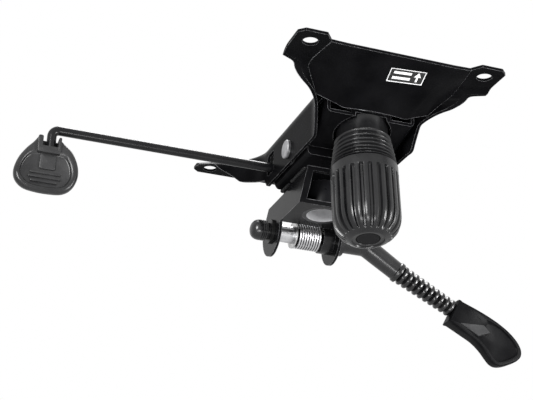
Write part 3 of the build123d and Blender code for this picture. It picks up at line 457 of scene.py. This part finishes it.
def block(name, low, high, near, far, round_by, material):
    """A low block on the height paddle, with rounded corners and a softened outer edge."""
    corner_steps = 6
    soft_share = 0.45
    edge_break = 0.3
    quarters = ((high[0], high[1], 0), (low[0], high[1], 90), (low[0], low[1], 180), (high[0], low[1], 270))
    outline = []
    for x, z, turn in quarters:
        centre_x = x - round_by if x == high[0] else x + round_by
        centre_z = z - round_by if z == high[1] else z + round_by
        for step in range(corner_steps + 1):
            angle = math.radians(turn + step * 90 / corner_steps)
            outline.append(Vector((centre_x, centre_z)) + Vector((math.cos(angle), math.sin(angle))) * round_by)
    soft = min(round_by, abs(far - near)) * soft_share
    back = math.copysign(1.0, near - far)
    start = soft * edge_break
    levels = ((0.0, near), (0.0, far + back * soft), (start, far + back * start), (soft, far))
    points, faces = skin(
        [[on_height_paddle(p.x, p.y, height) for p in inset(outline, step)] for step, height in levels]
    )
    new_piece(name, points, faces, material, "height_lever", 35.0)


side_line = through(paddle_sides)[::-1]
dish_line = through(paddle_dish)[::-1]
rim_line = between(side_line, dish_line, 0.45)
inner_line = between(side_line, dish_line, 0.70)
lip_line = between(side_line, dish_line, 0.88)
# The top is open where the rod comes down: four more points close each ring round that notch
side_notch = ((8.0, 36.0), (8.0, 26.5), (-6.2, 26.5), (-6.2, 36.0))
rim_notch = ((8.3, 28.5), (7.6, 25.5), (-5.8, 25.5), (-6.5, 28.5))
inner_notch = ((7.3, 25.5), (6.0, 24.0), (-4.5, 24.0), (-5.5, 25.5))
lip_notch = ((6.3, 23.4), (4.5, 22.6), (-3.5, 22.6), (-5.2, 23.4))
dish_notch = ((4.0, 21.5), (2.0, 21.5), (-2.0, 21.5), (-4.0, 21.5))
# The outline and its notch, how far inside them, and how far out of the paddle's middle plane
paddle_levels = (
    (dish_line, dish_notch, 0.0, -3.6), (rim_line, rim_notch, 0.0, -4.0), (side_line, side_notch, 1.6, -4.0),
    (side_line, side_notch, 0.5, -3.2), (side_line, side_notch, 0.0, -1.5), (side_line, side_notch, 0.0, 1.0),
    (side_line, side_notch, 0.35, 2.1), (side_line, side_notch, 1.1, 3.1), (side_line, side_notch, 2.0, 3.7),
    (rim_line, rim_notch, 0.0, 4.1), (inner_line, inner_notch, 0.0, 4.0), (lip_line, lip_notch, 0.0, 3.4),
    (dish_line, dish_notch, 0.0, 1.7), (dish_line, dish_notch, 0.9, 1.2),
)
rings = []
for line, notch, step, height in paddle_levels:
    ring = [on_height_paddle(p.x, p.y, height) for p in inset(line, step)]
    rings.append(ring + [on_height_paddle(x, z, height) for x, z in notch])
points, faces = skin(rings)
height_paddle = new_piece(
    "height_paddle_body", points, faces, paddle_plastic, "height_lever", 38.0
)
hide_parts("height_lever_paddle")

# Low and high corner, first and last height out of the middle plane, corner radius, finish
for row in (
    ("height_paddle_socket_left", (-9.8, 24.0), (-5.6, 36.6), -6.4, 6.4, 1.4, paddle_plastic),
    ("height_paddle_socket_right", (7.4, 24.0), (9.8, 36.6), -6.4, 6.4, 1.1, paddle_plastic),
    ("height_paddle_socket_foot", (-9.6, 21.4), (9.6, 27.6), -6.2, 6.2, 1.4, paddle_plastic),
    ("height_paddle_tongue", (-6.5, 7.5), (7.0, 22.6), 1.0, 2.9, 1.8, paddle_plastic),
    ("height_paddle_rib_top", (-13.5, 3.2), (12.0, 5.2), 1.0, 2.5, 0.9, paddle_plastic),
    ("height_paddle_rib_middle", (-14.5, -0.6), (12.5, 1.4), 1.0, 2.5, 0.9, paddle_plastic),
    ("height_paddle_rib_low", (-12.5, -4.4), (9.5, -2.4), 1.0, 2.5, 0.9, paddle_plastic),
    # Its darker nylon is painted shade in the socket's hole
    ("height_paddle_socket_back", (-7.5, 24.0), (8.5, 36.2), -6.4, -4.3, 1.0, nylon),
):
    block(*row)


# ---------------------------------------------------------------- lock lever: elbow sleeve and paddle

elbow_x = 54.0
droop = math.radians(27.0)
way = Vector((math.cos(droop), 0.0, -math.sin(droop)))
across = Vector((math.sin(droop), 0.0, math.cos(droop)))
elbow_corner = Vector((elbow_x, lock_y, lock_z))

# Along the lever and over it, clockwise as seen from in front
lock_sides = (
    (0.0, 9.5), (10.0, 10.8), (22.0, 12.3), (34.0, 13.2), (46.0, 13.3), (58.0, 12.0), (68.5, 8.8), (75.6, 4.0),
    (78.2, -2.0), (76.4, -8.4), (71.4, -15.2), (65.8, -21.2), (60.4, -24.4), (55.0, -24.6), (49.4, -22.4),
    (41.0, -18.6), (31.0, -16.0), (20.0, -15.5), (9.0, -15.2), (0.0, -15.0),
)
lock_dish = (
    (34.5, 3.4), (36.0, 6.9), (39.5, 8.7), (43.5, 9.4), (50.0, 9.4), (57.5, 8.1), (65.5, 5.6), (70.6, 2.4),
    (72.6, -2.0), (71.0, -6.6), (67.0, -12.4), (62.6, -17.4), (59.2, -19.8), (55.6, -19.8), (51.5, -17.8),
    (46.5, -15.4), (41.5, -13.4), (37.8, -10.8), (35.4, -7.2), (34.5, -2.6),
)
neck_end = 107.0
lock_root_t = 7.5
lock_tip_t = 4.0
lock_length = 78.0


def on_lock_paddle(along, over, out):
    """A place on the paddle: along the lever, over it, and out by a share of its half thickness."""
    thick = lock_root_t + (lock_tip_t - lock_root_t) * along / lock_length
    return (elbow_corner + way * (neck_end + along) + across * over + Vector((0.0, -thick * out, 0.0))) * MM


side_line = through(lock_sides)[::-1]
dish_line = through(lock_dish)[::-1]
rim_line = between(side_line, dish_line, 0.8)
# The outline, how far inside it, and the share of the half thickness
lock_levels = (
    (dish_line, 0.9, -0.52), (dish_line, 0.0, -0.60), (rim_line, 0.0, -0.96), (side_line, 1.9, -1.0),
    (side_line, 0.9, -0.96), (side_line, 0.25, -0.82), (side_line, 0.0, -0.5), (side_line, 0.0, 0.5),
    (side_line, 0.25, 0.82), (side_line, 0.9, 0.96), (side_line, 1.9, 1.0), (rim_line, 0.0, 0.96),
    (dish_line, 0.0, 0.60), (dish_line, 0.9, 0.52),
)
points, faces = skin([[on_lock_paddle(p.x, p.y, h) for p in inset(line, s)] for line, s, h in lock_levels])
lock_paddle = new_piece("lock_paddle_body", points, faces, black_plastic, "lock", 38.0)
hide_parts("lock_paddle")

rest_corners = [Vector(p) for p in ((31.9, -11.3), (40.4, -2.1), (31.9, 1.2), (10.8, -10.3))]
rest_start = min(corner.x for corner in rest_corners)
# The thumb rest is a wedge: this share of the half thickness more for each millimetre along it
rest_rise = 0.014
# How far inside the corners, the share of the rise, and the share of the half thickness that it starts from
rest_levels = ((0.0, 0.0, 0.40), (0.0, 0.8, 0.98), (0.5, 1.0, 1.0), (1.1, 1.0, 1.0))
rings = []
for step, share, base in rest_levels:
    ring = []
    for p, corner in zip(inset(rest_corners, step), rest_corners):
        ring.append(on_lock_paddle(p.x, p.y, base + share * rest_rise * (corner.x - rest_start)))
    rings.append(ring)
points, faces = skin(rings)
# Its lighter plastic is painted light
new_piece("lock_paddle_thumb_rest", points, faces, lit_rest_plastic, "lock", 30.0)

sleeve_start_x = 38.3
sleeve_r = 9.3
sleeve_lip = 0.7
sleeve_bend_r = 14.0
sleeve_corner_x = 62.0
sleeve_length = 48.0
sleeve_sides = 48
bend_steps = 8
# How far short of the sleeve's end, and the radius there: a taper, then a raised collar
sleeve_end_rows = (
    (24.0, 9.2), (14.0, 9.0), (7.0, 8.9), (5.0, 8.9), (4.4, 9.6), (3.6, 9.9), (1.4, 9.9), (0.6, 9.6), (0.1, 8.6),
)
sleeve_corner = Vector((sleeve_corner_x, lock_y, lock_z))
sleeve_end = elbow_corner + way * sleeve_length
sleeve_way = (sleeve_end - sleeve_corner).normalized()
sleeve_droop = math.asin(-sleeve_way.z)
bend_tangent = sleeve_bend_r * math.tan(sleeve_droop / 2)
bend_centre = Vector((sleeve_corner_x - bend_tangent, lock_y, lock_z - sleeve_bend_r))
sleeve_run = (sleeve_end - sleeve_corner).length
# Centre, turn from level, and radius of each ring
stations = [
    (Vector((sleeve_start_x, lock_y, lock_z)), 0.0, sleeve_r - sleeve_lip),
    (Vector((sleeve_start_x + sleeve_lip, lock_y, lock_z)), 0.0, sleeve_r),
]
for step in range(bend_steps + 1):
    turn = sleeve_droop * step / bend_steps
    centre = bend_centre + Vector((math.sin(turn), 0.0, math.cos(turn))) * sleeve_bend_r
    stations.append((centre, turn, sleeve_r))
for short_by, radius in sleeve_end_rows:
    stations.append((sleeve_corner + sleeve_way * (sleeve_run - short_by), sleeve_droop, radius))
rings = []
for centre, turn, radius in stations:
    over = Vector((math.sin(turn), 0.0, math.cos(turn)))
    ring = []
    for step in range(sleeve_sides):
        angle = math.tau * step / sleeve_sides
        ring.append((centre + (over * math.sin(angle) + Vector((0.0, 1.0, 0.0)) * math.cos(angle)) * radius) * MM)
    rings.append(ring)
points, faces = skin(rings)
elbow = new_piece("elbow_sleeve", points, faces, gloss_plastic, "lock", 35.0)
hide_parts("lever_elbow")


# ---------------------------------------------------------------- tension knob

knob_lean = math.radians(7.44)
knob_centre = Vector((0.0, -87.1, 25.8))
knob_up = Vector((0.0, math.sin(knob_lean), math.cos(knob_lean)))
knob_back = Vector((0.0, math.cos(knob_lean), -math.sin(knob_lean)))
rib_count = 24
steps_per_rib = 16
groove_depth = 2.0
rib_crown = 0.5
# A groove lies where the rib wave is over its foot, and is at full depth after this rise of it
groove_foot = 0.15
groove_rise = 0.40
# Height over the knob's centre, radius, and share of the grooves' depth
knob_profile = (
    (-60.8, 24.7, 0.0), (-19.9, 24.7, 0.0), (-19.5, 25.2, 0.0), (-19.5, 27.1, 0.0), (-20.1, 27.7, 0.0),
    (-27.0, 27.7, 0.0), (-27.8, 27.7, 0.0), (-28.4, 27.7, 0.7), (-29.2, 27.7, 1.0), (-38.0, 27.7, 1.0),
    (-50.0, 27.7, 1.0), (-60.0, 27.7, 1.0), (-64.0, 27.6, 1.0), (-68.0, 27.2, 1.0), (-71.5, 26.4, 1.0),
    (-74.5, 25.2, 1.0), (-77.0, 23.6, 1.0), (-79.0, 21.8, 0.95), (-80.4, 20.1, 0.75), (-81.3, 18.8, 0.3),
    (-82.0, 17.7, 0.0), (-82.9, 16.2, 0.0), (-83.6, 14.9, 0.0), (-84.0, 13.9, 0.0), (-84.0, 13.2, 0.0),
    (-83.5, 12.8, 0.0), (-82.9, 12.6, 0.0), (-82.8, 12.2, 0.0), (-82.8, 9.9, 0.0), (-82.5, 9.65, 0.0),
    (-80.6, 9.65, 0.0),
)


def on_knob_axis(level, radius, angle):
    """A place round the knob's axis."""
    spoke = Vector((math.cos(angle), 0.0, 0.0)) + knob_back * math.sin(angle)
    return (knob_centre + spoke * radius + knob_up * level) * MM


rings = []
for level, radius, share in knob_profile:
    ring = []
    for step in range(rib_count * steps_per_rib):
        angle = math.tau * step / (rib_count * steps_per_rib)
        rib_wave = math.cos(rib_count * angle)
        groove = max(0.0, min(1.0, (rib_wave - groove_foot) / groove_rise))
        groove = groove * groove * (3.0 - 2.0 * groove)
        crown = rib_crown * share * (1.0 + rib_wave) / 2
        ring.append(on_knob_axis(level, radius - groove_depth * share * groove - crown, angle))
    rings.append(ring)
points, faces = skin(rings)
knob = new_piece("tension_knob_grip", points, faces, grip_plastic, "knob", 42.0)
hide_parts("tension_knob")


# ---------------------------------------------------------------- bellows boot and tension spring, in two lengths
#
# The bolt pulls the knob up as the seat tips, and turning the knob screws it up the bolt. The upper length of
# each soft piece is put on the base, and the lower length rides on the bolt.

boot_top = 21.7
boot_low = -19.2
boot_collar_end = 9.0
boot_top_r = 21.6
boot_low_r = 27.3
boot_wall = 3.1
boot_edge_r = 0.5
boot_edge_h = 0.4
boot_rings = 7
# Each ring is this share of the one above it
boot_pitch_share = 0.9
boot_groove = 2.5
# Share of a ring's pitch, and share of the groove's depth there
groove_shape = ((0.0, 1.0), (0.18, 0.95), (0.40, 0.22), (0.48, 0.02), (0.56, 0.0), (0.64, 0.10), (0.82, 0.95))
boot_sides = 96
ring_before_split = 3


def boot_crest(level):
    """Radius of the boot's outside at a height above the knob's centre."""
    return boot_top_r + (boot_low_r - boot_top_r) * (boot_top - level) / (boot_top - boot_low)


def boot_length(name, outside, body):
    """A closed tube inside this outline."""
    high, low = outside[0][0], outside[-1][0]
    inside = [(low, boot_crest(low) - boot_wall), (high, boot_crest(high) - boot_wall)]
    rings = outside + inside
    points, faces = [], []
    for level, radius in rings:
        points.extend(on_knob_axis(level, radius, math.tau * step / boot_sides) for step in range(boot_sides))
    for ring in range(len(rings)):
        here, below = ring * boot_sides, (ring + 1) % len(rings) * boot_sides
        for step in range(boot_sides):
            after = (step + 1) % boot_sides
            faces.append((here + step, below + step, below + after, here + after))
    piece = new_piece(name, points, faces, boot_rubber, body, 50.0)
    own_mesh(piece)
    return piece


pitch_sum = sum(boot_pitch_share**number for number in range(boot_rings))
edge_level = boot_top - boot_edge_h
boot_outside = [(boot_top, boot_top_r - boot_edge_r), (edge_level, boot_crest(edge_level))]
rows_over_rings = len(boot_outside)
level = boot_collar_end
for number in range(boot_rings):
    pitch = (boot_collar_end - boot_low) * boot_pitch_share**number / pitch_sum
    for along, depth in groove_shape:
        row = level - pitch * along
        boot_outside.append((row, boot_crest(row) - boot_groove * depth))
    level -= pitch
boot_outside.append((boot_low, boot_low_r - boot_groove))
split = rows_over_rings + len(groove_shape) * ring_before_split
upper_boot = boot_length("spring_boot_upper", boot_outside[: split + 1], "base")
boot_length("spring_boot_lower", boot_outside[split:], "bolt")
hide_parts("spring_boot")


def spring_length(name, high, low, body):
    """The tension spring's turns between two heights."""
    mesh = nodes["tension_spring"].data.copy()
    mesh.name = name
    cut = bmesh.new()
    cut.from_mesh(mesh)
    for height, way_out in ((high, knob_up), (low, -knob_up)):
        bmesh.ops.bisect_plane(
            cut, geom=cut.verts[:] + cut.edges[:] + cut.faces[:], plane_co=(knob_centre + knob_up * height) * MM,
            plane_no=way_out, clear_outer=True,
        )
    bmesh.ops.holes_fill(cut, edges=[edge for edge in cut.edges if edge.is_boundary], sides=0)
    cut.to_mesh(mesh)
    cut.free()
    mesh.materials.clear()
    mesh.materials.append(spring_wire)
    piece = add(bpy.data.objects.new(name, mesh))
    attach(piece, body)
    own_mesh(piece)
    return piece


spring_top = 18.69
spring_split = -19.5
spring_low = -57.64
upper_spring = spring_length("tension_spring_upper", spring_top, spring_split, "base")
spring_length("tension_spring_lower", spring_split, spring_low, "bolt")
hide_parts("tension_spring")


# ---------------------------------------------------------------- weld beads, made by one node tree

SMALLEST_BEAD = (0.86, 0.80, 0.82)
LARGEST_BEAD = (1.10, 1.05, 1.08)


def weld_tree(material):
    """Overlapping beads along a line: inputs for their pitch, radius and seed."""
    tree = bpy.data.node_groups.new("weld beads", "GeometryNodeTree")
    tree.interface.new_socket("Geometry", in_out="INPUT", socket_type="NodeSocketGeometry")
    kinds = {"Pitch": "NodeSocketFloat", "Bead Radius": "NodeSocketFloat", "Seed": "NodeSocketInt"}
    for label, kind in kinds.items():
        tree.interface.new_socket(label, in_out="INPUT", socket_type=kind)
    tree.interface.new_socket("Geometry", in_out="OUTPUT", socket_type="NodeSocketGeometry")
    start = tree.nodes.new("NodeGroupInput")
    end = tree.nodes.new("NodeGroupOutput")
    line = tree.nodes.new("GeometryNodeMeshToCurve")
    even = tree.nodes.new("GeometryNodeResampleCurve")
    even.mode = "LENGTH"
    bead = tree.nodes.new("GeometryNodeMeshIcoSphere")
    bead.inputs["Subdivisions"].default_value = 3
    size = tree.nodes.new("FunctionNodeRandomValue")
    size.data_type = "FLOAT_VECTOR"
    size.inputs[0].default_value = SMALLEST_BEAD
    size.inputs[1].default_value = LARGEST_BEAD
    lay = tree.nodes.new("GeometryNodeInstanceOnPoints")
    solid = tree.nodes.new("GeometryNodeRealizeInstances")
    smooth = tree.nodes.new("GeometryNodeSetShadeSmooth")
    coat = tree.nodes.new("GeometryNodeSetMaterial")
    coat.inputs["Material"].default_value = material
    links = tree.links
    links.new(start.outputs["Geometry"], line.inputs["Mesh"])
    links.new(line.outputs["Curve"], even.inputs["Curve"])
    links.new(start.outputs["Pitch"], even.inputs["Length"])
    links.new(even.outputs["Curve"], lay.inputs["Points"])
    links.new(start.outputs["Bead Radius"], bead.inputs["Radius"])
    links.new(bead.outputs["Mesh"], lay.inputs["Instance"])
    links.new(start.outputs["Seed"], size.inputs["Seed"])
    links.new(size.outputs[0], lay.inputs["Scale"])
    links.new(lay.outputs["Instances"], solid.inputs["Geometry"])
    links.new(solid.outputs["Geometry"], smooth.inputs["Geometry"])
    links.new(smooth.outputs["Geometry"], coat.inputs["Geometry"])
    links.new(coat.outputs["Geometry"], end.inputs["Geometry"])
    return tree


def weld(name, runs, pitch, radius, seed, body):
    """Lays the weld tree along straight runs and keeps the result as a plain mesh."""
    points, edges = [], []
    for first, last in runs:
        edges.append((len(points), len(points) + 1))
        points.extend((tuple(Vector(first) * MM), tuple(Vector(last) * MM)))
    line = bpy.data.meshes.new(name + " line")
    line.from_pydata(points, edges, [])
    carrier = add(bpy.data.objects.new(name + " line", line))
    layer = carrier.modifiers.new("weld", "NODES")
    layer.node_group = weld_beads
    values = {"Pitch": pitch * MM, "Bead Radius": radius * MM, "Seed": seed}
    for socket in weld_beads.interface.items_tree:
        if socket.in_out == "INPUT" and socket.name in values:
            layer[socket.identifier] = values[socket.name]
    bpy.context.view_layer.update()
    shown = carrier.evaluated_get(bpy.context.evaluated_depsgraph_get())
    mesh = bpy.data.meshes.new_from_object(shown)
    mesh.name = name
    bpy.data.objects.remove(carrier)
    piece = add(bpy.data.objects.new(name, mesh))
    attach(piece, body)
    return piece


weld_beads = weld_tree(weld_metal)
housing_side = 30.4
floor_under = 26.3
weld_runs = ((-34.0, -4.0), (4.0, 21.0))
weld_pitch = 1.3
weld_r = 1.9
weld_seed = 4
weld(
    "housing_welds",
    [
        ((side * housing_side, first, floor_under), (side * housing_side, last, floor_under))
        for first, last in weld_runs for side in (-1, 1)
    ],
    weld_pitch, weld_r, weld_seed, "base",
)


# ---------------------------------------------------------------- plain label on the front apron

label_x = 12.0
label_y = -146.0
label_half_w = 15.0
label_half_h = 6.4
label_turn = math.radians(-4.0)
label_cells = 10
border = 0.7
sheet_lift = 0.12
marks_lift = 0.2
under_the_apron = 30.0
plate_mesh = nodes["seat_plate"].data
under_plate = BVHTree.FromPolygons(
    [v.co.copy() for v in plate_mesh.vertices], [tuple(f.vertices) for f in plate_mesh.polygons]
)


def on_apron(x, y, lift):
    """The place under the apron at this x and y, lifted off it along its normal."""
    start = Vector((x, y, under_the_apron)) * MM
    hit, normal, _, _ = under_plate.ray_cast(start, Vector((0.0, 0.0, 1.0)))
    down = normal if normal.z < 0 else -normal
    return hit + down * lift * MM


def label_place(u, v, lift):
    """The place at u across and v down the label."""
    x = label_x + u * math.cos(label_turn) - v * math.sin(label_turn)
    y = label_y + u * math.sin(label_turn) + v * math.cos(label_turn)
    return on_apron(x, y, lift)


def strip(name, shapes, lift, material):
    """Thin patches laid on the apron, each from four corners, cut fine enough to follow it."""
    points, faces = [], []
    for corners in shapes:
        a, b, c, d = (Vector(p) for p in corners)
        start = len(points)
        for row in range(label_cells + 1):
            for column in range(label_cells + 1):
                left, right = a.lerp(d, row / label_cells), b.lerp(c, row / label_cells)
                p = left.lerp(right, column / label_cells)
                points.append(label_place(p.x, p.y, lift))
        for row in range(label_cells):
            for column in range(label_cells):
                corner = start + row * (label_cells + 1) + column
                below = corner + label_cells + 1
                faces.append((corner, below, below + 1, corner + 1))
    new_piece(name, points, faces, material, "seat", 60.0)


def box(left, top, right, bottom):
    """The four corners of an upright patch."""
    return ((left, top), (right, top), (right, bottom), (left, bottom))


w, h = label_half_w, label_half_h
frame_lines = [
    box(-w, -h, w, -h + border), box(-w, h - border, w, h), box(-w, -h, -w + border, h), box(w - border, -h, w, h),
]
bars = [box(-11.5, 1.2, 3.5, 3.6), box(-11.5, -3.8, 3.5, -1.4)]
arrow = [box(8.3, -0.2, 9.9, 4.2), ((6.2, -0.2), (12.0, -0.2), (9.5, -4.4), (8.7, -4.4))]
strip("label_sheet", [box(-w, -h, w, h)], sheet_lift, label_black)
strip("label_marks", frame_lines + bars + arrow, marks_lift, label_white)


# ---------------------------------------------------------------- camera, light and floor

# Solved from the photograph, whose width and focal length are in its pixels
view_from = Vector((-0.3802, -0.9589, -0.4198))
view_azimuth = math.radians(-18.88)
view_elevation = math.radians(-22.79)
view_roll = math.radians(1.92)
picture_width = 533
focal_pixels = 1275.8
sensor_width = 36.0

forward = Vector((
    -math.sin(view_azimuth) * math.cos(view_elevation),
    math.cos(view_azimuth) * math.cos(view_elevation),
    -math.sin(view_elevation),
))
level_right = Vector((math.cos(view_azimuth), math.sin(view_azimuth), 0.0))
level_up = level_right.cross(forward)
right = level_right * math.cos(view_roll) + level_up * math.sin(view_roll)
up = level_up * math.cos(view_roll) - level_right * math.sin(view_roll)

lens = bpy.data.cameras.new("camera")
lens.sensor_width = sensor_width
lens.lens = focal_pixels / picture_width * sensor_width
camera = add(bpy.data.objects.new("camera", lens))
camera.matrix_world = Matrix((
    (right.x, up.x, -forward.x, view_from.x),
    (right.y, up.y, -forward.y, view_from.y),
    (right.z, up.z, -forward.z, view_from.z),
    (0.0, 0.0, 0.0, 1.0),
))
bpy.context.scene.camera = camera

lamp_aim = Vector((-0.02, -0.05, 0.02))


def soft_lamp(name, place, width, height, watts):
    """A rectangular lamp that faces the mechanism."""
    lamp = bpy.data.lights.new(name, "AREA")
    lamp.shape = "RECTANGLE"
    lamp.size = width
    lamp.size_y = height
    lamp.energy = watts
    item = add(bpy.data.objects.new(name, lamp))
    item.location = place
    item.rotation_mode = "QUATERNION"
    item.rotation_quaternion = (lamp_aim - Vector(place)).to_track_quat("-Z", "Y")


soft_lamp("key lamp", (-0.95, -0.95, 0.10), 0.16, 0.70, 20.0)
soft_lamp("side lamp", (0.85, -0.75, -0.15), 0.14, 0.60, 13.0)
soft_lamp("low lamp", (-0.25, -0.70, -0.52), 0.50, 0.12, 4.0)
soft_lamp("top lamp", (0.10, 0.35, 0.95), 0.60, 0.60, 12.0)

world = bpy.data.worlds.new("studio")
bpy.context.scene.world = world
world.use_nodes = True
sky = world.node_tree
sky.nodes.clear()
world_out = sky.nodes.new("ShaderNodeOutputWorld")


def plain_sky(colour, strength):
    """One plain background."""
    shader = sky.nodes.new("ShaderNodeBackground")
    shader.inputs["Color"].default_value = (*colour, 1.0)
    shader.inputs["Strength"].default_value = strength
    return shader.outputs["Background"]


room_sky = plain_sky((0.82, 0.84, 0.86), 0.45)
seen_sky = plain_sky(grey(1.0), 1.0)
sky.links.new(blend_shaders(sky, seen_rays(sky), room_sky, seen_sky), world_out.inputs["Surface"])

floor_z = -0.56
floor_half = 6.0
floor_tone = 0.62
glow_tone = 0.92
glow_share = 0.72
floor_mesh = bpy.data.meshes.new("floor")
floor_mesh.from_pydata(
    [(x * floor_half, y * floor_half, floor_z) for x, y in ((-1, -1), (1, -1), (1, 1), (-1, 1))], [], [(0, 1, 2, 3)]
)
floor = add(bpy.data.objects.new("floor", floor_mesh))
floor_material, floor_tree, floor_surface, _ = shader_tree("pale floor")
floor_surface.inputs["Base Color"].default_value = (*grey(floor_tone), 1.0)
floor_surface.inputs["Roughness"].default_value = 0.9
glow = floor_tree.nodes.new("ShaderNodeEmission")
glow.inputs["Color"].default_value = (*grey(glow_tone), 1.0)
glow.inputs["Strength"].default_value = 1.0
glow_mix = spread(floor_tree, seen_rays(floor_tree), 0.0, 1.0, 0.0, glow_share)
from_above = blend_shaders(floor_tree, glow_mix, floor_surface.outputs["BSDF"], glow.outputs["Emission"])
# Seen from below, where the photograph's camera is, the floor is clear
is_below = floor_tree.nodes.new("ShaderNodeNewGeometry").outputs["Backfacing"]
clear = floor_tree.nodes.new("ShaderNodeBsdfTransparent").outputs["BSDF"]
floor_output = next(node for node in floor_tree.nodes if node.bl_idname == "ShaderNodeOutputMaterial")
floor_tree.links.new(blend_shaders(floor_tree, is_below, from_above, clear), floor_output.inputs["Surface"])
floor_mesh.materials.append(floor_material)

bpy.context.scene.view_settings.view_transform = "Standard"
